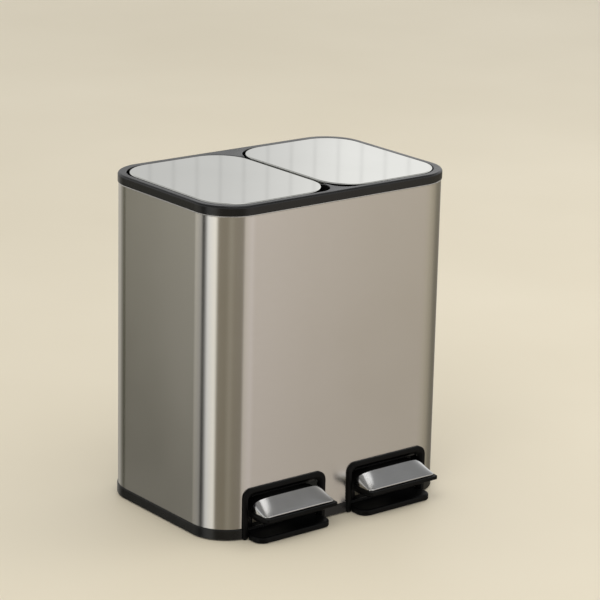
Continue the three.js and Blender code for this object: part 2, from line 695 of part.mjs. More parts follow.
// ---- push rod with a foot, a damper arm and a slotted head ----
function pushRod() {
  const footBottom = LEVER_TOP + ROD_FOOT_GAP;
  const footTop = LEVER_TOP + 5;
  const foot = upright(ROD_FOOT_R, PEDAL_X, ROD_Y, footBottom, footTop, 12);
  const shaft = upright(ROD_R, PEDAL_X, ROD_Y, footTop - BITE, ROD_JOG_Z + 2, 12);
  const head = sidePrism(
    [
      [ROD_Y + ROD_R, ROD_JOG_Z],
      [ROD_Y + ROD_R, ROD_JOG_Z + 8],
      [CRANK_Y + 5.5, ROD_JOG_Z + 22],
      [CRANK_Y + 5.5, CRANK_Z + 6],
      [CRANK_Y - 8, CRANK_Z + 6],
      [CRANK_Y - 8, CRANK_Z - 8],
      [CRANK_Y - 4, ROD_JOG_Z + 18],
      [ROD_Y - ROD_R, ROD_JOG_Z],
    ],
    PEDAL_X - ROD_HEAD_HALF,
    PEDAL_X + ROD_HEAD_HALF,
  );
  const slotHalf = CRANK_PIN_R + SLOT_GAP;
  const slot = block(PEDAL_X - PAST, PEDAL_X + PAST, CRANK_Y - 5.8, CRANK_Y + 2.6,
    CRANK_Z - slotHalf, CRANK_Z + slotHalf);
  const arm = block(PEDAL_X, DAMPER_X + 4, ROD_Y - 2.5, ROD_Y + 2.5, DAMPER_ARM_BOTTOM, DAMPER_ARM_TOP);
  return cut(union(foot, shaft, head, arm), slot);
}

function damperCylinder() {
  const tube = upright(DAMPER_R, DAMPER_X, ROD_Y, DAMPER_BOTTOM, GUIDE_HIGH_Z - GAP, 16);
  return cut(tube, upright(DAMPER_BORE_R, DAMPER_X, ROD_Y, DAMPER_BOTTOM - PAST, DAMPER_BORE_TOP, 12));
}

function damperPiston() {
  const rod = upright(PISTON_ROD_R, DAMPER_X, ROD_Y, DAMPER_ARM_TOP + GAP, PISTON_BOTTOM + BITE, 10);
  return union(rod, upright(PISTON_R, DAMPER_X, ROD_Y, PISTON_BOTTOM, PISTON_TOP, 12));
}

function rodGuide(z, x1) {
  const bar = block(PEDAL_X - GUIDE_REACH, x1, ROD_Y - DAMPER_R, BACK - SHEET - GAP, z, z + GUIDE_HEIGHT);
  return cut(bar, upright(ROD_R + BITE, PEDAL_X, ROD_Y, z - PAST, z + GUIDE_HEIGHT + PAST, 12));
}

// ---- pedal: steel plate over a plastic body on a rocking lever ----
// The plate is an arch whose ends roll down; its height falls towards the front edge.
function archShape(half, rise) {
  const steps = 8;
  const power = 2 / PLATE_SQUARENESS;
  const end = [];
  for (let i = 0; i <= steps; i += 1) {
    const angle = (i / steps) * (Math.PI / 2);
    const x = PLATE_FLAT_HALF + (half - PLATE_FLAT_HALF) * Math.abs(Math.cos(angle)) ** power;
    end.push([x, rise * Math.sin(angle) ** power]);
  }
  const mirroredEnd = end.map(([x, z]) => [-x, z]).reverse();
  return polygonShape([...end, ...mirroredEnd]);
}

function pedalArch(inset, back, front, fall = PLATE_FALL, lean = 0) {
  const rise = PLATE_BACK_Z - PLATE_EDGE_Z - inset;
  const shape = archShape(PLATE_HALF - inset, rise);
  const depth = back - front;
  const geometry = new THREE.ExtrudeGeometry(shape, { depth, bevelEnabled: false });
  geometry.rotateX(Math.PI / 2);
  const points = geometry.attributes.position;
  for (let i = 0; i < points.count; i += 1) {
    const share = Math.max(points.getZ(i), 0) / rise;
    const shift = lean * (1 - share) * (1 + points.getY(i) / depth);
    const y = back + points.getY(i) + shift;
    const top = PLATE_BACK_Z - (PLATE_BACK - y) * fall - inset;
    points.setXYZ(i, PEDAL_X + points.getX(i), y, PLATE_EDGE_Z + share * (top - PLATE_EDGE_Z));
  }
  return solidOf(geometry);
}

function pedalPlan(half, front, back, corner, z0, z1) {
  return prism(roundedShape(PEDAL_X - half, PEDAL_X + half, front, back, [corner, corner, 0, 0]), z0, z1);
}

function pedalPlate() {
  const low = PLATE_EDGE_Z - PAST;
  const high = PLATE_BACK_Z + PAST;
  const past = PLATE_BACK + PLATE_LEAN + PAST;
  const plan = pedalPlan(PLATE_HALF, PLATE_FRONT, past, PLATE_CORNER, low, high);
  const arch = pedalArch(0, PLATE_BACK, PLATE_FRONT, PLATE_FALL, PLATE_LEAN).intersect(plan);
  const innerHalf = PLATE_HALF - PLATE_SHEET;
  const innerFront = PLATE_FRONT + PLATE_SHEET;
  const innerCorner = PLATE_CORNER - PLATE_SHEET;
  const innerPlan = pedalPlan(innerHalf, innerFront, past, innerCorner, low, high);
  const inner = pedalArch(PLATE_SHEET, past, PLATE_FRONT).intersect(innerPlan);
  const opening = pedalPlan(innerHalf, innerFront, past, innerCorner, low, PLATE_EDGE_Z + GAP);
  return cut(arch, inner, opening);
}

function pedalBody() {
  const wideBack = BEZEL_FRONT - 0.8;
  const lipTop = PLATE_EDGE_Z - GAP;
  const lip = pedalPlan(LIP_HALF, FRONT - PEDAL_REACH, wideBack, LIP_CORNER, LIP_BOTTOM, lipTop);
  const hull = pedalPlan(HULL_HALF, HULL_FRONT, wideBack, HULL_CORNER, HULL_BOTTOM, LIP_BOTTOM + BITE);
  const coreInset = PLATE_SHEET + PLATE_ROOM;
  const coreHalf = PLATE_HALF - coreInset;
  const corePlan = pedalPlan(coreHalf, PLATE_FRONT + coreInset, PLATE_BACK, PLATE_CORNER,
    LIP_BOTTOM, PLATE_BACK_Z);
  const core = pedalArch(coreInset, PLATE_BACK, PLATE_FRONT).intersect(corePlan);
  const tailFront = PLATE_BACK - BITE;
  const tailCrown = pedalArch(TAIL_INSET, TAIL_BACK, tailFront, 0);
  const coreFoot = pedalPlan(coreHalf - BITE, PLATE_FRONT + 2 * coreInset, PLATE_BACK, PLATE_CORNER,
    LIP_BOTTOM, PLATE_EDGE_Z + BITE);
  const tail = block(PEDAL_X - TAIL_HALF, PEDAL_X + TAIL_HALF, tailFront, TAIL_BACK,
    HULL_BOTTOM, PLATE_EDGE_Z + BITE);
  const roomHalf = LEVER_HALF + GAP;
  const leverRoom = block(PEDAL_X - roomHalf, PEDAL_X + roomHalf, LEVER_FRONT_Y - 1, TAIL_BACK + PAST,
    HULL_BOTTOM - PAST, LEVER_FRONT_TOP + GAP);
  const screwTop = PEDAL_SCREW_TOP + 2;
  const screwHole = upright(PEDAL_SCREW_R + GAP, PEDAL_X, PEDAL_SCREW_Y, HULL_BOTTOM, screwTop, 10);
  return cut(union(lip, hull, core, coreFoot, tailCrown, tail), leverRoom, screwHole);
}

function pedalLever() {
  const frontUnder = LEVER_FRONT_TOP - LEVER_SHEET;
  const under = LEVER_TOP - LEVER_SHEET;
  const strip = sidePrism(
    [
      [LEVER_FRONT_Y, frontUnder],
      [-116, frontUnder],
      [-104, under],
      [LEVER_BACK_Y, under],
      [LEVER_BACK_Y, LEVER_TOP],
      [-103, LEVER_TOP],
      [-115, LEVER_FRONT_TOP],
      [LEVER_FRONT_Y, LEVER_FRONT_TOP],
    ],
    PEDAL_X - LEVER_HALF,
    PEDAL_X + LEVER_HALF,
  );
  const flanges = [-LEVER_HALF, LEVER_HALF - LEVER_SHEET].map((offset) => {
    const x = PEDAL_X + offset;
    return block(x, x + LEVER_SHEET, FLANGE_FRONT_Y, FLANGE_BACK_Y, FLANGE_BOTTOM, LEVER_TOP - BITE);
  });
  const bore = axle(PIVOT_R + GAP, PEDAL_X - PIVOT_HALF, PEDAL_X + PIVOT_HALF, PIVOT_Y, PIVOT_Z);
  const holeTop = LEVER_FRONT_TOP + PAST;
  const screwHole = upright(PEDAL_SCREW_R + GAP, PEDAL_X, PEDAL_SCREW_Y, under, holeTop, 10);
  return cut(union(strip, ...flanges), bore, screwHole);
}

function pedalScrew() {
  const seat = LEVER_FRONT_TOP - LEVER_SHEET - GAP;
  const head = upright(PEDAL_SCREW_HEAD_R, PEDAL_X, PEDAL_SCREW_Y, seat - 2.6, seat);
  return union(head, upright(PEDAL_SCREW_R, PEDAL_X, PEDAL_SCREW_Y, seat - BITE, PEDAL_SCREW_TOP, 10));
}

// ---- the assembly ----
place("outer_shell", outerShell(), BRUSHED_STEEL);
place("base_ring", baseRing(), BLACK_PLASTIC);
place("bucket_deck", bucketDeck(), BLACK_PLASTIC);
place("top_frame", topFrame(), BLACK_PLASTIC);
place("inner_back_panel", innerBackPanel(), BLACK_PLASTIC);
placePair("pedal_surround", pedalSurround(), BLACK_PLASTIC);
placePair("foot_plate", footPlate(), BLACK_PLASTIC);
placePair("foot_plate_screw_inner", footScrew(PEDAL_X - FOOT_SCREW_X), ZINC_STEEL);
placePair("foot_plate_screw_outer", footScrew(PEDAL_X + FOOT_SCREW_X), ZINC_STEEL);
placePair("rubber_foot_front", upright(RUBBER_R, RUBBER_X, -RUBBER_Y, 0, RUBBER_TOP), BLACK_RUBBER);
placePair("rubber_foot_back", upright(RUBBER_R, RUBBER_X, RUBBER_Y, 0, RUBBER_TOP), BLACK_RUBBER);
placePair("bucket", bucket(), BUCKET_PLASTIC);

placePair("lid_cover", lidCover(), LID_STEEL);
placePair("lid_base", lidBase(), BLACK_PLASTIC);
const [innerHingePin, outerHingePin] = hingePins(0);
placePair("hinge_pin_inner", innerHingePin, ZINC_STEEL);
placePair("hinge_pin_outer", outerHingePin, ZINC_STEEL);
const crankPin = axle(CRANK_PIN_R, PEDAL_X - CRANK_PIN_HALF, PEDAL_X + CRANK_PIN_HALF, CRANK_Y, CRANK_Z);
placePair("crank_pin", crankPin, ZINC_STEEL);
for (const [position, x, y] of bumperPlaces()) {
  const bumper = upright(BUMPER_R, x, y, STOP_TOP + GAP, LID_BASE_UNDER - GAP, 12);
  placePair(`lid_bumper_${position}`, bumper, BLACK_RUBBER);
}

placePair("push_rod", pushRod(), ZINC_STEEL);
placePair("rod_guide_lower", rodGuide(GUIDE_LOW_Z, PEDAL_X + GUIDE_REACH), BLACK_PLASTIC);
placePair("rod_guide_upper", rodGuide(GUIDE_HIGH_Z, DAMPER_X + DAMPER_R + 1), BLACK_PLASTIC);
placePair("damper_cylinder", damperCylinder(), BLACK_PLASTIC);
placePair("damper_piston", damperPiston(), ZINC_STEEL);

placePair("pedal_plate", pedalPlate(), BRUSHED_STEEL);
placePair("pedal_body", pedalBody(), BLACK_PLASTIC);
placePair("pedal_lever", pedalLever(), ZINC_STEEL);
placePair("pedal_screw", pedalScrew(), ZINC_STEEL);
const pivotPin = axle(PIVOT_R, PEDAL_X - PIVOT_HALF, PEDAL_X + PIVOT_HALF, PIVOT_Y, PIVOT_Z);
placePair("pivot_pin", pivotPin, ZINC_STEEL);

export default bin;
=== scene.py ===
"""Twin pedal bin: the looks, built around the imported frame.

Metres, +X right, +Y back, +Z up, as in the frame. Most visible parts are rebuilt here as fine meshes from
one idea: an outline that can grow or shrink evenly, and a profile of (growth, height) points swept round
it.
"""

import json
from math import cos, pi, radians, sin, sqrt

import bmesh
import bpy
from mathutils import Matrix, Vector


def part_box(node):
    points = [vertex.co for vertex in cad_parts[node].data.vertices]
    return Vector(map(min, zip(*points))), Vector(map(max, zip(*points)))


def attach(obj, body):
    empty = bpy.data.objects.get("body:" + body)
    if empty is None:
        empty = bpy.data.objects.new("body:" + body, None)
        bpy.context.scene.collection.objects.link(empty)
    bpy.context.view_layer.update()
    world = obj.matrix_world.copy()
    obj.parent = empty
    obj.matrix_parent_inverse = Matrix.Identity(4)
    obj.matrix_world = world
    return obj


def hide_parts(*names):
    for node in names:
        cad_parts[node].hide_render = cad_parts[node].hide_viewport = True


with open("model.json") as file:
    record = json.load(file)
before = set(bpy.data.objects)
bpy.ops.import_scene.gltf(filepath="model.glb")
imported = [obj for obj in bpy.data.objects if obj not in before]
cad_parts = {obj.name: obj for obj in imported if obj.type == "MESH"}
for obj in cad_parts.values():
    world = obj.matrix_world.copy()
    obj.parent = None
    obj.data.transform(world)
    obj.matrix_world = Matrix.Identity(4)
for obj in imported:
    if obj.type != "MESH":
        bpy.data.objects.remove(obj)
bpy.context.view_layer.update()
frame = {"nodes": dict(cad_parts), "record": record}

MM = 0.001
SHARP = 1e-5  # radius of a corner that looks sharp

# ---- places and sizes, read from the frame ----
SHELL_LOW, SHELL_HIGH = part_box("outer_shell")
RING_LOW, RING_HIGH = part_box("base_ring")
FRAME_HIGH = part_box("top_frame")[1]
SIDE = SHELL_HIGH[0]
FRONT, BACK = SHELL_LOW[1], SHELL_HIGH[1]
BODY_Y = (FRONT + BACK) / 2
TRIM_OUT = RING_HIGH[0] - SIDE
CORNER = 54 * MM
SHEET = 0.8 * MM
GAP = 0.3 * MM  # between two pieces that meet
FRAME_TOP = FRAME_HIGH[2]
FRAME_BOTTOM = SHELL_HIGH[2] - 6.5 * MM
RING_TOP = SHELL_LOW[2] - GAP
LID_LOW, LID_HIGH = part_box("right_lid_cover")
LID_CORNER = 50 * MM
LID_GAP = 1.5 * MM
LID_GAP_BACK = 2 * MM
OPENING_FRONT_CORNER = 26 * MM
OPENING_BACK_CORNER = 45.5 * MM


# ---- outlines and profiles ----
def arc(x, y, radius, start, end, steps):
    """Points on an arc, with angles in degrees."""
    angles = [radians(start + (end - start) * i / steps) for i in range(steps + 1)]
    return [(x + radius * cos(a), y + radius * sin(a)) for a in angles]


def rounded_rect(x0, x1, y0, y1, radii, steps, straights):
    """Anticlockwise points from the lower left corner, with radii in the same order.

    The points of a straight side gather near its ends.
    """
    corners = [
        (x0 + radii[0], y0 + radii[0], radii[0], 180),
        (x1 - radii[1], y0 + radii[1], radii[1], 270),
        (x1 - radii[2], y1 - radii[2], radii[2], 0),
        (x0 + radii[3], y1 - radii[3], radii[3], 90),
    ]
    arcs = [arc(x, y, max(r, SHARP), start, start + 90, steps) for x, y, r, start in corners]
    points = []
    for this, following in zip(arcs, arcs[1:] + arcs[:1]):
        points += this
        (ax, ay), (bx, by) = this[-1], following[0]
        for i in range(1, straights):
            share = i / straights
            share = share * share * (3 - 2 * share)
            points.append((ax + (bx - ax) * share, ay + (by - ay) * share))
    return points


def box_outline(x0, x1, y0, y1, radii, steps, straights):
    """A function that gives the outline grown by its one argument, with the same number of points."""
    if not isinstance(radii, (tuple, list)):
        radii = (radii,) * 4

    def grown(grow=0.0):
        larger = [max(r + grow, 0.05 * MM) for r in radii]
        return rounded_rect(x0 - grow, x1 + grow, y0 - grow, y1 + grow, larger, steps, straights)

    return grown


def fillet(points, radii, steps):
    """Rounds the corners of a closed polyline, each by its own radius."""
    most = 0.49  # of a side may be taken by the rounding at either end
    result = []
    for i, (x, y) in enumerate(points):
        if radii[i] <= 0:
            result.append((x, y))
            continue
        before = Vector(points[i - 1]) - Vector((x, y))
        after = Vector(points[(i + 1) % len(points)]) - Vector((x, y))
        half = before.angle(after) / 2
        tangent = max(abs(sin(half) / cos(half)), 1e-6)
        reach = min(radii[i] / tangent, before.length * most, after.length * most)
        start = Vector((x, y)) + before.normalized() * reach
        end = Vector((x, y)) + after.normalized() * reach
        for k in range(steps + 1):
            t = k / steps
            point = start * (1 - t) ** 2 + Vector((x, y)) * (2 * t * (1 - t)) + end * t ** 2
            result.append((point.x, point.y))
    return result


# ---- meshes ----
def add_rings(bm, rings, closed=False, cap_first=False, cap_last=False):
    """Joins rings of points, each closed on itself, with quads."""
    made = [[bm.verts.new(p) for p in ring] for ring in rings]
    pairs = list(zip(made, made[1:]))
    if closed:
        pairs.append((made[-1], made[0]))
    for low, high in pairs:
        size = len(low)
        for i in range(size):
            j = (i + 1) % size
            bm.faces.new((low[i], low[j], high[j], high[i]))
    if cap_first:
        bm.faces.new(made[0][::-1])
    if cap_last:
        bm.faces.new(made[-1])
    return made


def sweep(bm, outline, profile, **ends):
    """Sweeps a profile of (growth, height) points round an outline."""
    return add_rings(bm, [[(x, y, z) for x, y in outline(grow)] for grow, z in profile], **ends)


def add_turned(bm, profile, centre, axis):
    """A lathe solid from (radius, distance along the axis) points, closed by flat ends."""
    sides = 28
    rings = []
    for radius, along in profile:
        ring = []
        for i in range(sides):
            u, v = radius * cos(2 * pi * i / sides), radius * sin(2 * pi * i / sides)
            point = (u, v, along) if axis == "Z" else (along, u, v)
            ring.append(tuple(Vector(point) + Vector(centre)))
        rings.append(ring)
    add_rings(bm, rings, cap_first=True, cap_last=True)


def add_plate(bm, points, low, high, plane, edge):
    """Extrudes a closed outline and rounds its two rims by edge. plane names the outline's two axes."""
    steps = 3
    place = {
        "xy": lambda u, v, d: (u, v, d),
        "xz": lambda u, v, d: (u, d, v),
        "yz": lambda u, v, d: (d, u, v),
    }[plane]
    turns = [pi / 2 * k / steps for k in range(steps + 1)]
    profile = [(edge * (1 - sin(t)), low + edge * (1 - cos(t))) for t in turns]
    profile += [(edge * (1 - cos(t)), high - edge * (1 - sin(t))) for t in turns]
    rings = [[place(u, v, depth) for u, v in inset_outline(points, inset)] for inset, depth in profile]
    add_rings(bm, rings, cap_first=True, cap_last=True)


def inset_outline(points, inset):
    """Moves each point of an anticlockwise outline inwards along the mean of its two edges' normals."""
    if inset <= 0:
        return points
    bluntest = 0.4  # keeps a sharp corner from moving too far
    moved = []
    count = len(points)
    for i in range(count):
        here = Vector(points[i])
        before = (here - Vector(points[i - 1])).normalized()
        after = (Vector(points[(i + 1) % count]) - here).normalized()
        normals = [Vector((-e.y, e.x)) for e in (before, after)]
        mean = (normals[0] + normals[1]).normalized()
        reach = inset / max(mean.dot(normals[0]), bluntest)
        moved.append(tuple(here + mean * reach))
    return moved


def object_from(bm, name):
    """Makes an object of a finished mesh, with its faces turned outwards."""
    bmesh.ops.remove_doubles(bm, verts=bm.verts, dist=1e-7)
    bmesh.ops.recalc_face_normals(bm, faces=bm.faces)
    mesh = bpy.data.meshes.new(name)
    bm.to_mesh(mesh)
    bm.free()
    piece = bpy.data.objects.new(name, mesh)
    bpy.context.collection.objects.link(piece)
    return piece


def combined(piece, operation, build_tool):
    """Applies one exact boolean to a piece, with a tool made by build_tool."""
    tool_mesh = bmesh.new()
    build_tool(tool_mesh)
    tool = object_from(tool_mesh, "tool")
    modifier = piece.modifiers.new("combine", "BOOLEAN")
    modifier.operation = operation
    modifier.solver = "EXACT"
    modifier.use_self = True
    modifier.object = tool
    apply_modifiers(piece)
    bpy.data.objects.remove(tool)


def apply_modifiers(piece):
    """Bakes a piece's modifiers into its mesh."""
    graph = bpy.context.evaluated_depsgraph_get()
    result = bpy.data.meshes.new_from_object(piece.evaluated_get(graph))
    piece.modifiers.clear()
    old = piece.data
    piece.data = result
    bpy.data.meshes.remove(old)


def mirrored(piece, name):
    """A copy mirrored in the YZ plane."""
    twin = piece.copy()
    twin.data = piece.data.copy()
    twin.name = name
    twin.data.name = name
    twin.data.transform(Matrix.Diagonal((-1, 1, 1, 1)))
    twin.data.flip_normals()
    bpy.context.collection.objects.link(twin)
    return twin


def finish_piece(piece, body, slot, material, replaces, sharp=35):
    """Shading, material and body of one piece; slot is not used. Edges over sharp degrees stay hard."""
    mesh = piece.data
    mesh.polygons.foreach_set("use_smooth", [True] * len(mesh.polygons))
    mesh.set_sharp_from_angle(angle=radians(sharp))
    weighted = piece.modifiers.new("normals", "WEIGHTED_NORMAL")
    weighted.keep_sharp = True
    mesh.materials.clear()
    mesh.materials.append(material)
    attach(piece, body)
    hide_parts(*replaces)


def make_pair(name, build, body, slot, material, **options):
    """Makes the right piece, mirrors it for the left, and lets each replace its CAD node."""
    right = build(f"right_{name}_form")
    left = mirrored(right, f"left_{name}_form")
    for piece, side in ((left, "left"), (right, "right")):
        body_name = body if body == "root" else f"{side}_{body}"
        finish_piece(piece, body_name, slot, material, (f"{side}_{name}",), **options)


# ---- material nodes ----
NOISE_LOW, NOISE_HIGH = 0.3, 0.7  # where nearly all of a noise value lies


class Shader:
    """A principled material with short calls for its nodes."""

    def __init__(self, name, **sockets):
        self.material = bpy.data.materials.new(name)
        self.material.use_nodes = True
        self.nodes = self.material.node_tree.nodes
        self.links = self.material.node_tree.links
        self.shader = self.nodes["Principled BSDF"]
        for socket, value in sockets.items():
            self.shader.inputs[socket.replace("_", " ")].default_value = value
        self.place = self.nodes.new("ShaderNodeTexCoord").outputs["Object"]

    def stretched(self, scale):
        """Places on the piece, scaled along each axis."""
        mapping = self.nodes.new("ShaderNodeMapping")
        mapping.inputs["Scale"].default_value = scale
        self.links.new(self.place, mapping.inputs["Vector"])
        return mapping.outputs["Vector"]

    def noise(self, scale, stretch=(1, 1, 1), detail=2.0, roughness=0.5):
        """A noise value; stretch multiplies the scale along each axis."""
        node = self.nodes.new("ShaderNodeTexNoise")
        node.inputs["Scale"].default_value = scale
        node.inputs["Detail"].default_value = detail
        node.inputs["Roughness"].default_value = roughness
        self.links.new(self.stretched(stretch), node.inputs["Vector"])
        return node.outputs["Fac"]

    def colour(self, value, dark, light):
        """Colours the surface between two tones by a noise value."""
        node = self.nodes.new("ShaderNodeValToRGB")
        first, last = node.color_ramp.elements
        first.position, first.color = NOISE_LOW, (*dark, 1)
        last.position, last.color = NOISE_HIGH, (*light, 1)
        self.links.new(value, node.inputs["Fac"])
        self.links.new(node.outputs["Color"], self.shader.inputs["Base Color"])

    def roughness(self, value, low, high):
        """Varies the roughness between two values by a noise value."""
        node = self.nodes.new("ShaderNodeMapRange")
        node.inputs["From Min"].default_value = NOISE_LOW
        node.inputs["From Max"].default_value = NOISE_HIGH
        node.inputs["To Min"].default_value = low
        node.inputs["To Max"].default_value = high
        self.links.new(value, node.inputs["Value"])
        self.links.new(node.outputs["Result"], self.shader.inputs["Roughness"])

    def bump(self, height, strength, distance, under=None):
        """Adds relief by a noise value, on top of an earlier bump if one is given."""
        node = self.nodes.new("ShaderNodeBump")
        node.inputs["Strength"].default_value = strength
        node.inputs["Distance"].default_value = distance
        self.links.new(height, node.inputs["Height"])
        if under is not None:
            self.links.new(under, node.inputs["Normal"])
        self.links.new(node.outputs["Normal"], self.shader.inputs["Normal"])
        return node.outputs["Normal"]


def body_steel():
    """Stainless sheet with a fine grain that runs round the body and spreads reflections up and down."""
    s = Shader("body_steel", Metallic=1.0, Anisotropic=0.6, Anisotropic_Rotation=0.25)
    tangent = s.nodes.new("ShaderNodeTangent")
    tangent.direction_type = "RADIAL"
    tangent.axis = "Z"
    s.links.new(tangent.outputs["Tangent"], s.shader.inputs["Tangent"])
    grain = s.noise(1.0, (60, 60, 9000), detail=3)
    s.colour(grain, (0.74, 0.715, 0.68), (0.80, 0.775, 0.74))
    s.roughness(s.noise(5.0, detail=3), 0.17, 0.22)
    waves = s.bump(s.noise(7.0, (1, 1, 0.12), detail=1), 0.25, 0.9 * MM)
    s.bump(grain, 0.10, 0.02 * MM, waves)
    return s.material


def lid_steel():
    """Nearly a mirror: bright steel with slight waviness and faint rubbed patches."""
    s = Shader("lid_steel", Metallic=1.0)
    s.colour(s.noise(9.0), (0.80, 0.80, 0.752), (0.83, 0.83, 0.782))
    s.roughness(s.noise(14.0, detail=4), 0.018, 0.035)
    s.bump(s.noise(5.0, detail=1), 0.1, 0.25 * MM)
    return s.material


def pedal_steel():
    """Satin steel with a fine grain across the pedal and slightly worn patches."""
    s = Shader("pedal_steel", Metallic=1.0, Anisotropic=0.4)
    grain = s.noise(1.0, (60, 1500, 1500), detail=2)
    s.colour(grain, (0.60, 0.60, 0.595), (0.66, 0.66, 0.655))
    s.roughness(s.noise(30.0, detail=4, roughness=0.6), 0.10, 0.15)
    s.bump(grain, 0.05, 0.004 * MM)
    return s.material


def zinc_steel():
    """Zinc-plated steel with a fine spangle."""
    s = Shader("zinc_steel", Metallic=1.0)
    cells = s.noise(220.0, detail=3)
    s.colour(cells, (0.50, 0.51, 0.52), (0.62, 0.63, 0.64))
    s.roughness(s.noise(60.0, detail=4), 0.28, 0.42)
    s.bump(cells, 0.1, 0.05 * MM)
    return s.material


def plastic(name, dark, light, roughness, grain_depth, ior=1.49):
    """Moulded plastic with a fine spark-eroded grain and slightly uneven gloss."""
    s = Shader(name, IOR=ior)
    s.colour(s.noise(12.0, detail=3), dark, light)
    s.roughness(s.noise(25.0, detail=4), roughness - 0.05, roughness + 0.05)
    s.bump(s.noise(2200.0, detail=2), 0.35, grain_depth)
    return s.material


def rubber():
    """Matt black rubber with a coarse skin."""
    s = Shader("rubber", IOR=1.5)
    s.colour(s.noise(80.0), (0.008, 0.008, 0.008), (0.018, 0.018, 0.017))
    s.roughness(s.noise(300.0), 0.75, 0.9)
    s.bump(s.noise(900.0), 0.3, 0.06 * MM)
    return s.material


BODY_STEEL = body_steel()
LID_STEEL = lid_steel()
PEDAL_STEEL = pedal_steel()
ZINC = zinc_steel()
BLACK = plastic("black_plastic", (0.004,) * 3, (0.007,) * 3, 0.26, 0.02 * MM)
# Painted shade: a darker copy of the black plastic, whose low IOR dims its reflections, for the pedal
# surrounds, pedal bodies and foot plates, which sit in shade near the floor
SHADED_BLACK = plastic("pedal_black_plastic", (0.001,) * 3, (0.003,) * 3, 0.42, 0.02 * MM, ior=1.22)
BUCKET_GREY = plastic("bucket_plastic", (0.030, 0.031, 0.034), (0.040, 0.041, 0.044), 0.5, 0.04 * MM)
RUBBER = rubber()


# ---- steel body ----
body_outline = box_outline(-SIDE, SIDE, FRONT, BACK, CORNER, steps=28, straights=14)
WINDOW_LOW, WINDOW_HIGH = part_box("right_pedal_surround")
PEDAL_X = (WINDOW_LOW[0] + WINDOW_HIGH[0]) / 2
WINDOW_HALF = 58.8 * MM
WINDOW_TOP = 60.5 * MM
WINDOW_CORNER = 8 * MM
BEZEL_CORNER = 13 * MM
COLLAR_WALL = 2.5 * MM
COLLAR_ROOM = COLLAR_WALL + GAP
COLLAR_BACK = WINDOW_HIGH[1]
BEZEL_FRONT = WINDOW_LOW[1]
BELOW, AHEAD = -5 * MM, FRONT - 8 * MM  # where a cutting solid is clear of the bin


def window_points(grow, bottom):
    """The pedal window's outline in X and Z."""
    half, corner = WINDOW_HALF + grow, WINDOW_CORNER + grow
    return rounded_rect(PEDAL_X - half, PEDAL_X + half, bottom, WINDOW_TOP + grow,
                        (SHARP, SHARP, corner, corner), steps=8, straights=2)


def add_window_tools(bm, grow, back):
    """Solids of both pedal windows, grown, from in front of the body to back."""
    for sign in (-1, 1):
        points = [(sign * x, z) for x, z in window_points(grow, BELOW)]
        rings = [[(x, y, z) for x, z in points] for y in (AHEAD, back)]
        add_rings(bm, rings, cap_first=True, cap_last=True)


def make_shell():
    """One sheet wrapped round, with a small rolled bead under the frame and a folded seam down the back."""
    low, high = SHELL_LOW[2], SHELL_HIGH[2]
    bead_low, bead_high = FRAME_BOTTOM - 2.2 * MM, FRAME_BOTTOM - 0.3 * MM
    bead_rise, bead_steps = 0.55 * MM, 8
    shares = [k / bead_steps for k in range(bead_steps + 1)]
    bead = [(bead_rise * sin(pi * s), bead_low + (bead_high - bead_low) * s) for s in shares]
    burr, inner_burr, run = 0.3 * MM, 0.2 * MM, 60 * MM
    outside = [(0, low + burr), (0, low + run), (0, bead_low - run)] + bead + [(0, high - burr)]
    edge = [(-burr, high), (-SHEET, high - inner_burr)]
    inside = [(-SHEET, low + inner_burr), (-burr, low)]
    bm = bmesh.new()
    sweep(bm, body_outline, outside + edge + inside, closed=True)
    shell = object_from(bm, "steel_body")

    def seam(tool):
        """The fold down the middle of the back."""
        half, rise, sunk = 5 * MM, 0.6 * MM, 0.4 * MM
        foot, top = low + 0.4 * MM, bead_low - 1 * MM
        points = [(-half, foot), (half, foot), (half, top), (-half, top)]
        add_plate(tool, points, BACK - sunk, BACK + rise, "xz", 0.35 * MM)

    def windows(tool):
        past_sheet = FRONT + 5 * MM
        add_window_tools(tool, COLLAR_ROOM, past_sheet)

    combined(shell, "UNION", seam)
    combined(shell, "DIFFERENCE", windows)
    finish_piece(shell, "root", "brushed_body_steel", BODY_STEEL, ("outer_shell",))


# ---- base ring ----
def make_base_ring():
    """A black ring under the steel's lower edge, with an upstand inside it and room for the windows."""
    low, high = RING_LOW[2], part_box("base_ring")[1][2]
    inner = -1.3 * MM
    wall = inner - 2.2 * MM
    points = [(TRIM_OUT, low), (TRIM_OUT, RING_TOP), (inner, RING_TOP)]
    points += [(inner, high), (wall, high), (wall, low)]
    radii = [1.2 * MM, 1.0 * MM, 0, 0.6 * MM, 0.6 * MM, 0.6 * MM]
    bm = bmesh.new()
    sweep(bm, body_outline, fillet(points, radii, steps=4), closed=True)
    ring = object_from(bm, "base_ring_form")

    def sills(tool):
        """A bar across the foot of each window, which keeps the ring in one piece."""
        half, bottom, top = WINDOW_HALF + 8 * MM, 9.5 * MM, 13 * MM
        front, back = FRONT + 2.5 * MM, FRONT + 6.5 * MM
        for x in (-PEDAL_X, PEDAL_X):
            points = [(x - half, bottom), (x + half, bottom), (x + half, top), (x - half, top)]
            add_plate(tool, points, front, back, "xz", 0.4 * MM)

    def rooms(tool):
        """Room for the collars."""
        add_window_tools(tool, COLLAR_ROOM, COLLAR_BACK + GAP)

    def bezel_rooms(tool):
        """Room for the bezels, in front of the steel."""
        half, above = (WINDOW_HIGH[0] - WINDOW_LOW[0]) / 2 + GAP, 20 * MM
        for x in (-PEDAL_X, PEDAL_X):
            points = [(x - half, BELOW), (x + half, BELOW), (x + half, above), (x - half, above)]
            rings = [[(u, y, z) for u, z in points] for y in (AHEAD, FRONT)]
            add_rings(tool, rings, cap_first=True, cap_last=True)

    combined(ring, "UNION", sills)
    combined(ring, "DIFFERENCE", rooms)
    combined(ring, "DIFFERENCE", bezel_rooms)
    finish_piece(ring, "root", "black_plastic", BLACK, ("base_ring",))


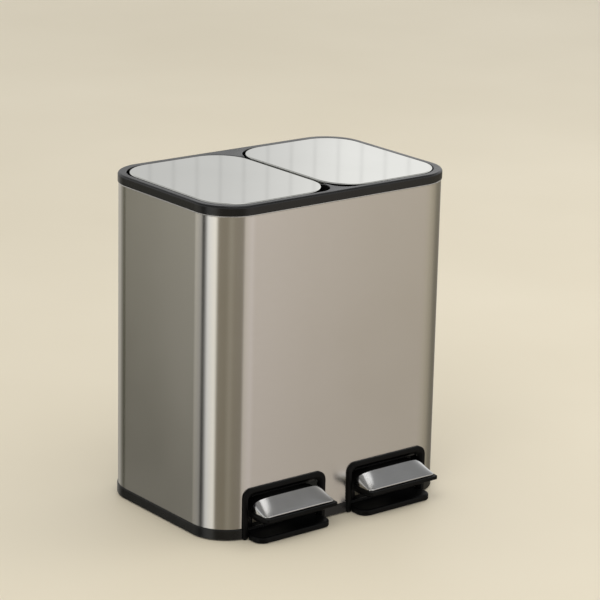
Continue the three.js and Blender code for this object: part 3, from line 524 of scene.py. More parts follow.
# ---- top frame ----
def opening_outline(sign):
    """One lid opening; three of its corners are squarer than the lid's."""
    low, high = (LID_LOW[0] - LID_GAP, LID_HIGH[0] + LID_GAP)
    outer = LID_CORNER + LID_GAP
    radii = (OPENING_FRONT_CORNER, outer, OPENING_BACK_CORNER, OPENING_BACK_CORNER)
    if sign < 0:
        low, high = -high, -low
        radii = (radii[1], radii[0], radii[3], radii[2])
    front, back = LID_LOW[1] - LID_GAP, LID_HIGH[1] + LID_GAP_BACK
    return box_outline(low, high, front, back, radii, steps=20, straights=24)


def fill_between(bm, rings, facing):
    """Fills the flat face between an outer ring and the rings inside it."""
    edges = [bm.edges.get((ring[i], ring[(i + 1) % len(ring)])) for ring in rings for i in range(len(ring))]
    bmesh.ops.triangle_fill(bm, use_beauty=True, use_dissolve=False, edges=edges, normal=facing)


def make_top_frame():
    """A rim over the steel's top edge, with an opening for each lid."""
    top, bottom = FRAME_TOP, FRAME_BOTTOM
    edge, foot_edge, lid_edge = 3.2 * MM, 0.4 * MM, 0.9 * MM
    rim_strip, lid_strip = 0.6 * MM, 0.4 * MM  # level strips beside the rounded edges
    web, opening_low, wall = top - 3 * MM, 436 * MM, 2 * MM
    lip, inner = SHELL_HIGH[2] + GAP, -1.3 * MM
    rim = [(TRIM_OUT - edge - rim_strip, top)]
    rim += arc(TRIM_OUT - edge, top - edge, edge, 90, 0, 8)
    rim += arc(TRIM_OUT - foot_edge, bottom + foot_edge, foot_edge, 0, -90, 3)
    rim += [(GAP, bottom), (GAP, lip), (inner, lip), (inner, bottom)]
    rim += [(inner - wall, bottom), (inner - wall, web)]
    bm = bmesh.new()
    rings = sweep(bm, body_outline, rim)
    tops, unders = [rings[0]], [rings[-1]]
    opening = [(lid_edge + lid_strip, top)] + arc(lid_edge, top - lid_edge, lid_edge, 90, 180, 4)
    opening += [(0, opening_low), (wall, opening_low), (wall, web)]
    for sign in (-1, 1):
        rings = sweep(bm, opening_outline(sign), opening)
        tops.append(rings[0])
        unders.append(rings[-1])
    fill_between(bm, tops, (0, 0, 1))
    fill_between(bm, unders, (0, 0, -1))
    lower_divider(bm)
    frame_piece = object_from(bm, "top_frame_form")
    combined(frame_piece, "UNION", add_hinge_brackets)
    combined(frame_piece, "UNION", add_lid_stops)
    finish_piece(frame_piece, "root", "black_plastic", BLACK, ("top_frame",), sharp=40)


def lower_divider(bm):
    """The bar between the lids dips below the rim, with a ramp at each end."""
    dip, ramp, inset = 2.5 * MM, 10 * MM, 28 * MM
    half, depth = 4.2 * MM, 1.5 * MM
    start, end = LID_LOW[1] + inset, LID_HIGH[1] - inset
    for vert in bm.verts:
        if abs(vert.co.x) > half or vert.co.z < FRAME_TOP - depth:
            continue
        inside = min(vert.co.y - start, end - vert.co.y) / ramp
        share = min(max(inside, 0), 1)
        vert.co.z -= dip * share * share * (3 - 2 * share)


JOINTS = {joint["name"]: joint for joint in frame["record"]["behaviour"]["joints"]}
HINGE = JOINTS["right_lid_hinge"]["pos_m"]
LID_X = (LID_LOW[0] + LID_HIGH[0]) / 2
KNUCKLE_X = 38 * MM
KNUCKLE_HALF = 4 * MM
KNUCKLE_R = 2.6 * MM


def add_hinge_brackets(tool):
    """Two knuckles for each lid, on brackets that stand on a foot. The outline starts from the hinge."""
    front, stem_back, foot_back = -7.5 * MM, -3.2 * MM, 14 * MM
    foot_low, foot_high = -20.5 * MM, -15.5 * MM
    outline = [(front, foot_low), (foot_back, foot_low), (foot_back, foot_high), (stem_back, foot_high)]
    outline += [(stem_back, -4 * MM), (-1.2 * MM, -2.3 * MM)]
    outline += arc(0, 0, KNUCKLE_R, -90, 90, 10) + [(front, 0.8 * MM)]
    points = [(HINGE[1] + y, HINGE[2] + z) for y, z in outline]
    for sign in (-1, 1):
        for offset in (-KNUCKLE_X, KNUCKLE_X):
            x = sign * (LID_X + offset)
            add_plate(tool, points, x - KNUCKLE_HALF, x + KNUCKLE_HALF, "yz", 0.3 * MM)


def add_lid_stops(tool):
    """A ledge across each front corner of an opening, where a bumper rests."""
    centre_y = LID_LOW[1] + LID_CORNER
    start, half_width = 39.5 * MM, 4 * MM
    low, high = 446 * MM, 449 * MM
    ledges = [(LID_LOW[0] + LID_CORNER, -1, 63.2 * MM), (LID_HIGH[0] - LID_CORNER, 1, 59.5 * MM)]
    for sign in (-1, 1):
        for centre_x, outward, end in ledges:
            centre = Vector((sign * centre_x, centre_y))
            along = Vector((sign * outward, -1)).normalized()
            across = Vector((-along.y, along.x)) * half_width
            near, far = centre + along * start, centre + along * end
            corners = [tuple(c) for c in (near - across, far - across, far + across, near + across)]
            add_plate(tool, corners, low, high, "xy", 0.4 * MM)


# ---- lids ----
lid_outline = box_outline(LID_LOW[0], LID_HIGH[0], LID_LOW[1], LID_HIGH[1], LID_CORNER,
                          steps=24, straights=8)


def make_lid_cover(name):
    """A flat steel cap with a rounded edge, hollow underneath."""
    top, low = LID_HIGH[2], LID_LOW[2]
    radius, skin, burr = 1.3 * MM, 0.6 * MM, 0.3 * MM
    middle, near_edge = -radius - 3 * MM, -radius - 0.4 * MM
    profile = [(middle, top), (near_edge, top)] + arc(-radius, top - radius, radius, 90, 0, 6)
    profile += [(0, low + burr), (-burr, low), (-skin, low + burr)]
    profile += [(-skin, top - radius), (-radius, top - skin), (middle, top - skin)]
    bm = bmesh.new()
    sweep(bm, lid_outline, profile, cap_first=True, cap_last=True)
    return object_from(bm, name)


# ---- pedals ----
def band(bm, outer, inner, section):
    """Sweeps (share from outer to inner, depth) points along two matched outlines in X and Z."""
    rings = []
    for (ox, oz), (ix, iz) in zip(outer, inner):
        rings.append([(ox + (ix - ox) * t, depth, oz + (iz - oz) * t) for t, depth in section])
    add_rings(bm, rings, cap_first=True, cap_last=True)


def arch_path(half, bottom, top, corner):
    """Up the left leg, over the top and down the right leg of a window frame."""
    steps = 12
    left, right = PEDAL_X - half, PEDAL_X + half
    middle = (bottom + top - corner) / 2
    path = [(left, bottom), (left, middle)] + arc(left + corner, top - corner, corner, 180, 90, steps)
    path += [(PEDAL_X, top)] + arc(right - corner, top - corner, corner, 90, 0, steps)
    return path + [(right, middle), (right, bottom)]


def make_surround(name):
    """A bezel with a bevelled inner edge, and a collar through the steel."""
    half = (WINDOW_HIGH[0] - WINDOW_LOW[0]) / 2
    low, top = WINDOW_LOW[2], WINDOW_HIGH[2]
    outer = arch_path(half, low, top, BEZEL_CORNER)
    inner = arch_path(WINDOW_HALF, low, WINDOW_TOP, WINDOW_CORNER)
    front, back = BEZEL_FRONT, FRONT - GAP
    collar = 1 - COLLAR_WALL / (half - WINDOW_HALF)
    edge = [(0, back), (0, front + 1.4 * MM), (0.06, front + 0.4 * MM), (0.14, front)]
    bevel = [(0.52, front), (0.60, front + 0.3 * MM), (0.95, front + 3.6 * MM), (1, front + 4.4 * MM)]
    tube = [(1, COLLAR_BACK - 0.2 * MM), (0.98, COLLAR_BACK), (collar, COLLAR_BACK), (collar, back)]
    bm = bmesh.new()
    band(bm, outer, inner, edge + bevel + tube)
    return object_from(bm, name)


PLATE_LOW, PLATE_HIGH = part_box("right_pedal_plate")
PLATE_HALF = (PLATE_HIGH[0] - PLATE_LOW[0]) / 2
PLATE_FLAT = 18 * MM  # half the width of the level middle
PLATE_SQUARENESS = 3.2  # of the curve at both ends, where 2 is an ellipse
PLATE_LEAN = 8 * MM  # how far the ends reach back behind the crown
PLATE_EDGE = PLATE_LOW[2]
PLATE_FRONT, PLATE_BACK = PLATE_LOW[1], PLATE_HIGH[1] - PLATE_LEAN
PLATE_FRONT_TOP = 42 * MM
PLATE_CORNER = 6 * MM


def plate_section(inset):
    """Across the pedal: (offset from the middle, share of the height), from one lower edge to the other."""
    steps = 22
    reach = PLATE_HALF - inset - PLATE_FLAT
    power = 2 / PLATE_SQUARENESS
    angles = [pi / 2 * k / steps for k in range(steps)]
    right = [(PLATE_FLAT + reach * cos(a) ** power, sin(a) ** power) for a in angles] + [(PLATE_FLAT, 1.0)]
    flat = [(PLATE_FLAT * k / 4, 1.0) for k in range(3, -4, -1)]
    left = [(-x, h) for x, h in right[::-1]]
    return right + flat + left


def plate_top(y, inset):
    """Height of the pedal's flat top, which falls towards the front."""
    fall = (PLATE_HIGH[2] - PLATE_FRONT_TOP) / (PLATE_BACK - PLATE_FRONT)
    return PLATE_HIGH[2] - (PLATE_BACK - y) * fall - inset


def front_line(x, inset):
    """Front edge of the pedal at an offset from its middle, with rounded corners."""
    corner = PLATE_CORNER - inset
    start = PLATE_HALF - inset - corner
    over = min(max(abs(x) - start, 0), corner)
    return PLATE_FRONT + inset + corner - sqrt(max(corner ** 2 - over ** 2, 0))


def plate_surface(inset, back, lean=0.0):
    """Rows of points over the arch, from back to front. lean carries the arch's ends further back."""
    rows = 14
    grid = []
    for k in range(rows + 1):
        share = 1 - (1 - k / rows) ** 1.5  # the rows gather near the front
        row = []
        for x, height in plate_section(inset):
            start = back + lean * (1 - height)
            y = start + (front_line(x, inset) - start) * share
            z = PLATE_EDGE + height * (plate_top(y, inset) - PLATE_EDGE)
            row.append((PEDAL_X + x, y, z))
        grid.append(row)
    return grid


def close_side(bm, outer, inner):
    """Joins the ends of the outer skin's rows to those of the inner skin, which has fewer."""
    last = len(inner) - 1
    for k in range(len(outer) - 1):
        corners = [outer[k], outer[k + 1], inner[min(k + 1, last)], inner[min(k, last)]]
        bm.faces.new(list(dict.fromkeys(corners)))


def make_pedal_plate(name):
    """Pressed steel: an arched top that turns down at both ends, closed to one sheet by an inner skin."""
    skin, drop = 0.8 * MM, 1.0 * MM
    edge_back, bend_back, bend_down = 0.35 * MM, 0.25 * MM, 0.6 * MM
    outer = plate_surface(0, PLATE_BACK, PLATE_LEAN)
    turned = [(x, y + bend_back, max(z - bend_down, PLATE_EDGE)) for x, y, z in outer[-1]]
    outer[-1] = [(x, y + edge_back, z) for x, y, z in outer[-1]]
    lip = [(x, y, max(z - drop, PLATE_EDGE)) for x, y, z in turned]
    outer += [turned, lip]
    inner = plate_surface(skin, PLATE_BACK, PLATE_LEAN)
    bm = bmesh.new()
    grid = [[bm.verts.new(p) for p in row] for row in outer + inner[::-1]]
    width = len(grid[0])
    for low, high in zip(grid, grid[1:] + grid[:1]):
        for i in range(width - 1):
            bm.faces.new((low[i], low[i + 1], high[i + 1], high[i]))
    for column in (0, width - 1):
        side = [row[column] for row in grid]
        close_side(bm, side[:len(outer)], side[len(outer):][::-1])
    return object_from(bm, name)


def add_block_between(bm, top_rows, low_rows):
    """A closed block between two matched grids of points."""
    grids = [[[bm.verts.new(p) for p in row] for row in rows] for rows in (top_rows, low_rows)]
    rows, columns = len(top_rows), len(top_rows[0])
    for grid in grids:
        for r in range(rows - 1):
            for c in range(columns - 1):
                bm.faces.new((grid[r][c], grid[r][c + 1], grid[r + 1][c + 1], grid[r + 1][c]))
    border = [(0, c) for c in range(columns)] + [(r, columns - 1) for r in range(1, rows)]
    border += [(rows - 1, c) for c in range(columns - 2, -1, -1)] + [(r, 0) for r in range(rows - 2, 0, -1)]
    upper, lower = grids
    for (r0, c0), (r1, c1) in zip(border, border[1:] + border[:1]):
        bm.faces.new((upper[r0][c0], upper[r1][c1], lower[r1][c1], lower[r0][c0]))


BODY_LOW, BODY_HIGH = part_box("right_pedal_body")
BODY_BACK = BEZEL_FRONT - 0.8 * MM  # where the wide part in front of the window ends
LIP_LOW = 34.5 * MM
HULL_LOW = BODY_LOW[2]
TAIL_REACH = (PLATE_BACK - 0.5 * MM, BODY_HIGH[1])
BACK_CORNER = 1 * MM


def add_lip(bm):
    """The flat lip under the steel plate's edge."""
    half, corner, rim, middle = (BODY_HIGH[0] - BODY_LOW[0]) / 2, 4 * MM, 0.9 * MM, -3 * MM
    top = PLATE_EDGE - GAP
    outline = box_outline(PEDAL_X - half, PEDAL_X + half, BODY_LOW[1], BODY_BACK,
                          (corner, corner, BACK_CORNER, BACK_CORNER), steps=10, straights=4)
    profile = [(middle, top)] + arc(-rim, top - rim, rim, 90, 0, 4)
    profile += arc(-rim, LIP_LOW + rim, rim, 0, -90, 4) + [(middle, LIP_LOW)]
    sweep(bm, outline, profile, cap_first=True, cap_last=True)


def add_hull(tool):
    """The deep part under the lip, drawn in with a round belly."""
    half, front, corner, belly = 56.5 * MM, FRONT - 32 * MM, 15 * MM, 6.5 * MM
    outline = box_outline(PEDAL_X - half, PEDAL_X + half, front, BODY_BACK - 0.2 * MM,
                          (corner, corner, BACK_CORNER, BACK_CORNER), steps=12, straights=4)
    under = [(0, LIP_LOW + 1 * MM), (0, LIP_LOW - 0.4 * MM)]
    under += arc(-belly, HULL_LOW + belly, belly, 0, -90, 8) + [(-belly - 1 * MM, HULL_LOW)]
    sweep(tool, outline, under, cap_first=True, cap_last=True)


def add_core(tool):
    """Fills the space under the steel plate, short of its skin."""
    inset, back_gap, overlap = 1.9 * MM, 0.3 * MM, 1 * MM
    rows = plate_surface(inset, PLATE_BACK - back_gap)
    floor = [[(x, y, LIP_LOW + overlap) for x, y, _ in row] for row in rows]
    add_block_between(tool, rows, floor)


def add_tail_stem(tool):
    """The narrow part that goes back through the window."""
    half, top, corner, edge = 52 * MM, PLATE_EDGE + 0.5 * MM, 1.5 * MM, 0.8 * MM
    corners = [(-half, HULL_LOW), (half, HULL_LOW), (half, top), (-half, top)]
    points = fillet(corners, (corner, corner, 0, 0), steps=5)
    add_plate(tool, [(PEDAL_X + x, z) for x, z in points], *TAIL_REACH, "xz", edge)


def add_tail_crown(tool):
    """Closes the gap between the steel plate and the window, with the plate's own section kept level."""
    inset, edge = 2 * MM, 0.8 * MM
    crown = PLATE_HIGH[2] - inset - PLATE_EDGE
    points = [(PEDAL_X + x, PLATE_EDGE + share * crown) for x, share in plate_section(inset)]
    add_plate(tool, points, *TAIL_REACH, "xz", edge)


def add_lever_room(tool):
    """The slot from behind that takes the lever."""
    half, low, high = 20.3 * MM, 20 * MM, 33.3 * MM
    points = [(-half, low), (half, low), (half, high), (-half, high)]
    ends = (FRONT - 27 * MM, BODY_HIGH[1] + 1 * MM)
    rings = [[(PEDAL_X + x, y, z) for x, z in points] for y in ends]
    add_rings(tool, rings, cap_first=True, cap_last=True)


def make_pedal_body(name):
    """Moulded body: a lip under the steel plate, a hull that draws in below it, and a tail into the bin."""
    bm = bmesh.new()
    add_lip(bm)
    piece = object_from(bm, name)
    for part in (add_hull, add_core, add_tail_stem, add_tail_crown):
        combined(piece, "UNION", part)
    combined(piece, "DIFFERENCE", add_lever_room)
    return piece


# ---- foot plates ----
FOOT_LOW, FOOT_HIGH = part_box("right_foot_plate")
FOOT_BACK = BEZEL_FRONT - GAP


def make_foot_plate(name):
    """A rounded plate on the floor, with a tongue that goes under the bin."""
    low, high, half = FOOT_LOW[2], FOOT_HIGH[2], (FOOT_HIGH[0] - FOOT_LOW[0]) / 2
    corner, edge, foot_edge, overlap = 14 * MM, 2.6 * MM, 0.8 * MM, 1 * MM
    plan = box_outline(PEDAL_X - half, PEDAL_X + half, FOOT_LOW[1], FOOT_BACK,
                       (corner, corner, BACK_CORNER, BACK_CORNER), steps=12, straights=4)
    profile = [(-overlap, low)] + arc(-foot_edge, low + foot_edge, foot_edge, -90, 0, 3)
    profile += arc(-edge, high - edge, edge, 0, 90, 6) + [(-edge - overlap, high)]
    bm = bmesh.new()
    sweep(bm, plan, profile, cap_first=True, cap_last=True)
    piece = object_from(bm, name)
    combined(piece, "UNION", add_tongue)
    return piece


def add_tongue(tool):
    """The flat part of a foot plate that lies under the bin."""
    reach, front, back = WINDOW_HALF - 2 * GAP, FOOT_BACK - 2 * MM, FOOT_HIGH[1]
    left, right = PEDAL_X - reach, PEDAL_X + reach
    points = [(left, front), (right, front), (right, back), (left, back)]
    add_plate(tool, points, FOOT_LOW[2], FOOT_HIGH[2], "xy", 0.6 * MM)


# ---- buckets ----
BUCKET_LOW, BUCKET_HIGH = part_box("right_bucket")
BUCKET_CORNER = 50 * MM
BUCKET_TAPER = 0.955  # the floor's size as a share of the rim's


def bucket_profile():
    """(growth, height) points: up the inside, over the folded rim and down the outside."""
    low, high = BUCKET_LOW[2], BUCKET_HIGH[2]
    floor, outer, inner = low + 2.5 * MM, -6 * MM, -8 * MM
    foot, middle, run = 9 * MM, 26 * MM, 60 * MM
    bend, bend_low, hem, hem_inner = 2 * MM, high - 2 * MM, high - 12 * MM, -1.8 * MM
    inside = [(inner - middle, floor)] + arc(inner - foot, floor + foot, foot, -90, 0, 6)
    inside += [(inner, high - run), (inner, high - 2.2 * MM)]
    inside += arc(inner + bend, bend_low, bend, 180, 90, 4)
    fold = arc(-bend, bend_low, bend, 90, 0, 4)
    fold += [(0, hem + 0.4 * MM), (-0.5 * MM, hem), (-1.3 * MM, hem), (hem_inner, hem + 0.5 * MM)]
    fold += [(hem_inner, bend_low - 1 * MM), (hem_inner - 0.8 * MM, bend_low)]
    outside = [(outer + 0.6 * MM, bend_low), (outer, bend_low - 1 * MM), (outer, high - run)]
    outside += arc(outer - foot, low + foot, foot, 0, -90, 6) + [(outer - middle, low)]
    return inside + fold + outside


def make_bucket(name):
    """A tapered moulding with rounded floor edges, a folded rim and two hand holes."""
    x0, x1, y0, y1 = BUCKET_LOW[0], BUCKET_HIGH[0], BUCKET_LOW[1], BUCKET_HIGH[1]
    mid_x, mid_y = (x0 + x1) / 2, (y0 + y1) / 2
    low, high = BUCKET_LOW[2], BUCKET_HIGH[2]
    outline = box_outline(x0, x1, y0, y1, BUCKET_CORNER, steps=16, straights=6)

    def ring(grow, z):
        """The outline at a height, drawn in by the taper."""
        share = (z - low) / (high - low)
        scale = BUCKET_TAPER + (1 - BUCKET_TAPER) * share
        return [(mid_x + (x - mid_x) * scale, mid_y + (y - mid_y) * scale, z) for x, y in outline(grow)]

    bm = bmesh.new()
    add_rings(bm, [ring(grow, z) for grow, z in bucket_profile()], cap_first=True, cap_last=True)
    piece = object_from(bm, name)

    def hand_holes(tool):
        half, bottom, top, corner = 42 * MM, high - 46 * MM, high - 22 * MM, 11 * MM
        points = rounded_rect(mid_x - half, mid_x + half, bottom, top, (corner,) * 4, steps=8, straights=2)
        beyond = 5 * MM
        rings = [[(x, y, z) for x, z in points] for y in (y0 - beyond, y1 + beyond)]
        add_rings(tool, rings, cap_first=True, cap_last=True)

    combined(piece, "DIFFERENCE", hand_holes)
    return piece


# ---- small turned parts ----
def turned_maker(node, axis, edge):
    """Makes a pin, foot or bumper the size of its CAD node, with rounded ends."""

    def build(name):
        low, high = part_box(node)
        centre = (Vector(low) + Vector(high)) / 2
        size = Vector(high) - Vector(low)
        length = size.z if axis == "Z" else size.x
        radius = size.y / 2
        half = length / 2
        turns = [pi / 2 * k / 3 for k in range(4)]
        profile = [(radius - edge * (1 - sin(t)), -half + edge * (1 - cos(t))) for t in turns]
        profile += [(radius - edge * (1 - cos(t)), half - edge * (1 - sin(t))) for t in turns]
        bm = bmesh.new()
        add_turned(bm, profile, centre, axis)
        return object_from(bm, name)

    return build


# ---- carried-over CAD nodes ----
CARRIED = {
    "bucket_deck": BLACK,
    "inner_back_panel": BLACK,
    "lid_base": BLACK,
    "rod_guide_lower": BLACK,
    "rod_guide_upper": BLACK,
    "damper_cylinder": BLACK,
    "damper_piston": ZINC,
    "push_rod": ZINC,
    "pedal_lever": ZINC,
    "pedal_screw": ZINC,
    "foot_plate_screw_inner": ZINC,
    "foot_plate_screw_outer": ZINC,
}


def dress_cad_nodes():
    """Rounds the edges of the CAD parts that stay, and gives them their material."""
    for node, piece in frame["nodes"].items():
        kind = node.replace("left_", "").replace("right_", "")
        if kind not in CARRIED:
            continue
        piece.data.materials.clear()
        piece.data.materials.append(CARRIED[kind])
        bevel = piece.modifiers.new("edges", "BEVEL")
        bevel.width = 0.25 * MM
        bevel.segments = 2
        bevel.limit_method = "ANGLE"
        bevel.angle_limit = radians(40)


# ---- stage, light and camera ----
def make_stage():
    """A pale plain floor that reflections don't see."""
    bpy.ops.mesh.primitive_plane_add(size=40, location=(0, 0, 0))
    floor = bpy.context.object
    floor.name = "floor"
    s = Shader("floor", Roughness=0.55)
    s.colour(s.noise(1.3, detail=3), (0.70, 0.635, 0.50), (0.74, 0.675, 0.54))
    floor.data.materials.append(s.material)
    floor.visible_glossy = False


# Brightness that the steel sees below the horizon, by bearing in degrees: 0 is the front, 90 the left.
STRIPES = [
    (-180, (0.55, 0.53, 0.48)),
    (-105, (0.20, 0.18, 0.14)),
    (-88, (0.25, 0.23, 0.18)),
    (-73, (0.40, 0.36, 0.28)),
    (-62, (0.46, 0.42, 0.33)),
    (-48, (0.54, 0.49, 0.40)),
    (-39.8, (0.51, 0.46, 0.38)),
    (-38.9, (0.48, 0.43, 0.35)),
    (-38.2, (0.68, 0.62, 0.55)),
    (-36, (0.76, 0.70, 0.66)),
    (-10, (0.66, 0.61, 0.54)),
    (-5, (0.27, 0.24, 0.19)),
    (18, (0.28, 0.25, 0.19)),
    (30, (0.35, 0.32, 0.25)),
    (42, (0.26, 0.23, 0.17)),
    (65, (0.27, 0.24, 0.18)),
    (73, (1.15, 1.12, 1.02)),
    (96, (0.98, 0.99, 0.97)),
    (104, (0.30, 0.30, 0.29)),
    (109, (0.05, 0.05, 0.045)),
    (114, (0.05, 0.05, 0.045)),
    (119, (0.46, 0.45, 0.42)),
    (140, (0.62, 0.60, 0.53)),
    (142.5, (0.58, 0.56, 0.49)),
    (146, (0.13, 0.125, 0.09)),
    (152, (0.13, 0.125, 0.09)),
    (180, (0.55, 0.53, 0.48)),
]
# How much darker those stripes are towards the floor, by bearing.
FALL = [(-180, 0.3), (-60, 0.3), (0, 0.28), (70, 0.3), (100, 0.42), (118, 0.5), (150, 0.6), (180, 0.3)]
# Brightness above the horizon, by the sine of the elevation.
WALL = [(0.0, 0.74), (0.36, 0.90), (0.5, 0.50), (0.66, 0.30), (0.76, 0.26), (0.9, 0.34), (1.0, 0.40)]
# How that changes with bearing; the lids reflect what lies near -141 degrees.
WALL_SIDES = [
    (-180, 0.85),
    (-146, 0.72),
    (-143.5, 0.76),
    (-141.8, 0.90),
    (-141.2, 1.06),
    (-137, 1.14),
    (-90, 1.0),
    (90, 0.9),
    (180, 0.85),
]
STRIPE_FALL = (-0.24, -0.345)  # sines of the elevations where the stripes start and stop darkening
HORIZON = 0.05  # half the height over which the two parts blend, as a sine
PANEL_LINES = 667  # lines in a full turn
LINE_SHARPNESS, LINE_DEPTH = 30, 0.1
SOFTBOX = (0.24, 0.02, 0.97)  # direction of a round light nearly overhead, which the pedals' bends reflect
SOFTBOX_EDGE = (0.960, 0.985)  # cosines of the angles from its middle where it starts and is full
SOFTBOX_STRENGTH = 1.4
ROOM_LIGHT = (0.92, 0.91, 0.88)  # what everything but a reflection sees


class Studio:
    """The world's nodes, with short calls for what they work out from a direction."""

    def __init__(self, tree):
        self.nodes, self.links = tree.nodes, tree.links
        self.nodes.clear()
        self.direction = self.nodes.new("ShaderNodeTexCoord").outputs["Generated"]
        split = self.nodes.new("ShaderNodeSeparateXYZ")
        self.links.new(self.direction, split.inputs[0])
        self.height = split.outputs["Z"]
        back = self.calculate("MULTIPLY", split.outputs["Y"], -1)
        left = self.calculate("MULTIPLY", split.outputs["X"], -1)
        self.bearing = self.calculate("ARCTAN2", left, back)
        self.turn = self.calculate("ADD", self.calculate("MULTIPLY", self.bearing, 1 / (2 * pi)), 0.5)

    def feed(self, socket, value):
        """Gives a socket a number or a colour, or links it."""
        if isinstance(value, (int, float)):
            socket.default_value = value
        elif isinstance(value, tuple):
            socket.default_value = (*value, 1)
        else:
            self.links.new(value, socket)

    def calculate(self, operation, *values):
        """One sum of numbers."""
        node = self.nodes.new("ShaderNodeMath")
        node.operation = operation
        for socket, value in zip(node.inputs, values):
            self.feed(socket, value)
        return node.outputs[0]

    def span(self, value, low, high, top=1):
        """0 at low and top at high, held level beyond them."""
        node = self.nodes.new("ShaderNodeMapRange")
        for socket, number in zip(node.inputs, (value, low, high, 0, top)):
            self.feed(socket, number)
        return node.outputs["Result"]

    def mix(self, share, a, b, blend="MIX"):
        """One blend of two colours."""
        node = self.nodes.new("ShaderNodeMixRGB")
        node.blend_type = blend
        for socket, value in zip(node.inputs, (share, a, b)):
            self.feed(socket, value)
        return node.outputs[0]

    def ramp(self, value, stops):
        """Colours or greys at rising places from 0 to 1."""
        node = self.nodes.new("ShaderNodeValToRGB")
        elements = node.color_ramp.elements
        elements[0].position, elements[1].position = stops[0][0], stops[-1][0]
        for place, _ in stops[1:-1]:
            elements.new(place)
        for element, (_, tone) in zip(elements, stops):
            element.color = (*tone, 1) if isinstance(tone, tuple) else (tone, tone, tone, 1)
        self.links.new(value, node.inputs["Fac"])
        return node.outputs["Color"]

    def by_bearing(self, stops):
        """A ramp round the whole turn, with its stops in degrees."""
        return self.ramp(self.turn, [((degrees + 180) / 360, tone) for degrees, tone in stops])

    def below_horizon(self):
        """The stripes, darker towards the floor."""
        depth = self.span(self.height, *STRIPE_FALL)
        fall = self.calculate("SUBTRACT", 1, self.calculate("MULTIPLY", depth, self.by_bearing(FALL)))
        return self.mix(1.0, self.by_bearing(STRIPES), fall, "MULTIPLY")

    def above_horizon(self):
        """A pale room with faint panel lines, and the softbox."""
        wave = self.calculate("COSINE", self.calculate("MULTIPLY", self.bearing, PANEL_LINES / 2))
        lines = self.calculate("POWER", self.calculate("ABSOLUTE", wave), LINE_SHARPNESS)
        wall = self.mix(1.0, self.ramp(self.height, WALL), self.by_bearing(WALL_SIDES), "MULTIPLY")
        shade = self.calculate("SUBTRACT", 1, self.calculate("MULTIPLY", lines, LINE_DEPTH))
        wall = self.mix(1.0, wall, shade, "MULTIPLY")
        aim = self.nodes.new("ShaderNodeVectorMath")
        aim.operation = "DOT_PRODUCT"
        aim.inputs[1].default_value = Vector(SOFTBOX).normalized()
        self.links.new(self.direction, aim.inputs[0])
        softbox = self.span(aim.outputs["Value"], *SOFTBOX_EDGE, SOFTBOX_STRENGTH)
        return self.mix(1.0, wall, softbox, "ADD")


def make_world():
    """Reflections see the studio, and everything else is lit by one plain colour."""
    world = bpy.data.worlds.new("studio")
    bpy.context.scene.world = world
    world.use_nodes = True
    studio = Studio(world.node_tree)
    blend = studio.span(studio.height, -HORIZON, HORIZON)
    seen = studio.mix(blend, studio.below_horizon(), studio.above_horizon())
    glossy = studio.nodes.new("ShaderNodeLightPath").outputs["Is Glossy Ray"]
    background = studio.nodes.new("ShaderNodeBackground")
    studio.links.new(studio.mix(glossy, ROOM_LIGHT, seen), background.inputs["Color"])
    output = studio.nodes.new("ShaderNodeOutputWorld")
    studio.links.new(background.outputs[0], output.inputs["Surface"])


def add_area_light(name, place, target, size, power, colour):
    """A soft light that reflections don't see."""
    light = bpy.data.lights.new(name, "AREA")
    light.shape = "RECTANGLE"
    light.size, light.size_y = size
    light.energy = power
    light.color = colour
    lamp = bpy.data.objects.new(name, light)
    lamp.location = place
    lamp.rotation_euler = (Vector(target) - Vector(place)).to_track_quat("-Z", "Y").to_euler()
    lamp.visible_glossy = False
    bpy.context.collection.objects.link(lamp)


def make_lights():
    """A key from the front left and a fill from the right."""
    add_area_light("key", (-1.6, -1.2, 2.6), (0, 0, 0.1), (1.6, 1.6), 18, (1.0, 0.98, 0.95))
    add_area_light("fill", (2.2, -0.6, 1.8), (0.4, 0, 0), (2.0, 2.0), 16, (1.0, 0.97, 0.93))


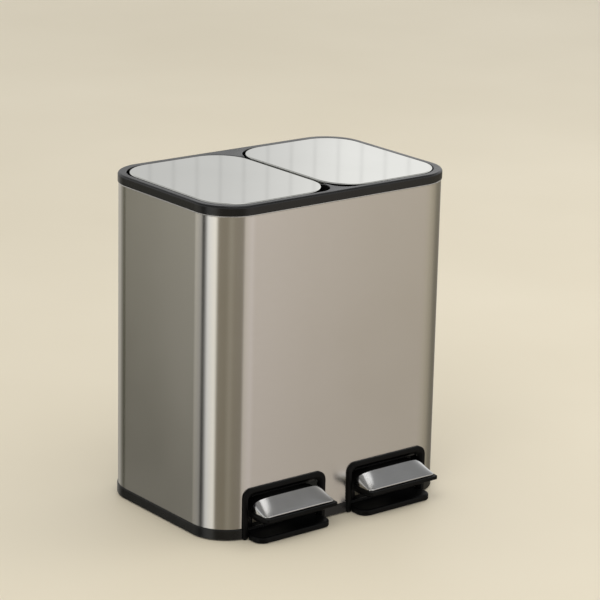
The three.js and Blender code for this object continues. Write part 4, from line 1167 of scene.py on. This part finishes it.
def make_camera():
    """The photograph's view: a long lens from the front left, looking down a little.

    Angles are in radians and distances in body widths.
    """
    yaw, pitch, roll = -0.6689, 0.2899, 0.0226
    unit = 2 * SIDE
    distance, slide_x, slide_y = 8.8546 * unit, 0.0771 * unit, 0.1761 * unit
    back = Vector((sin(yaw) * cos(pitch), -cos(yaw) * cos(pitch), sin(pitch)))
    flat_right = Vector((cos(yaw), sin(yaw), 0))
    flat_up = back.cross(flat_right)
    right = flat_right * cos(roll) + flat_up * sin(roll)
    up = flat_up * cos(roll) - flat_right * sin(roll)
    data = bpy.data.cameras.new("camera")
    data.sensor_width = 36
    data.lens = 153.85
    data.clip_end = 60
    camera = bpy.data.objects.new("camera", data)
    place = Vector((0, BODY_Y, unit / 2)) + right * slide_x + up * slide_y + back * distance
    rotation = Matrix((right, up, back)).transposed()
    camera.matrix_world = Matrix.Translation(place) @ rotation.to_4x4()
    bpy.context.collection.objects.link(camera)
    bpy.context.scene.camera = camera


make_camera()
make_shell()
make_base_ring()
make_top_frame()
make_pair("lid_cover", make_lid_cover, "lid", "lid_steel", LID_STEEL)
make_pair("pedal_surround", make_surround, "root", "black_plastic", SHADED_BLACK)
make_pair("pedal_plate", make_pedal_plate, "pedal", "pedal_steel", PEDAL_STEEL, sharp=50)
make_pair("pedal_body", make_pedal_body, "pedal", "black_plastic", SHADED_BLACK)
make_pair("foot_plate", make_foot_plate, "root", "black_plastic", SHADED_BLACK)
make_pair("bucket", make_bucket, "root", "bucket_plastic", BUCKET_GREY)
for pin in ("hinge_pin_inner", "hinge_pin_outer", "pivot_pin"):
    make_pair(pin, turned_maker(f"right_{pin}", "X", 0.4 * MM), "root", "zinc_plated_steel", ZINC)
make_pair("crank_pin", turned_maker("right_crank_pin", "X", 0.4 * MM), "lid", "zinc_plated_steel", ZINC)
for bumper in ("lid_bumper_inner", "lid_bumper_outer"):
    make_pair(bumper, turned_maker(f"right_{bumper}", "Z", 1.2 * MM), "lid", "black_rubber", RUBBER)
for foot in ("rubber_foot_front", "rubber_foot_back"):
    make_pair(foot, turned_maker(f"right_{foot}", "Z", 0.8 * MM), "root", "black_rubber", RUBBER)
dress_cad_nodes()
make_stage()
make_world()
make_lights()
bpy.context.scene.view_settings.view_transform = "Standard"
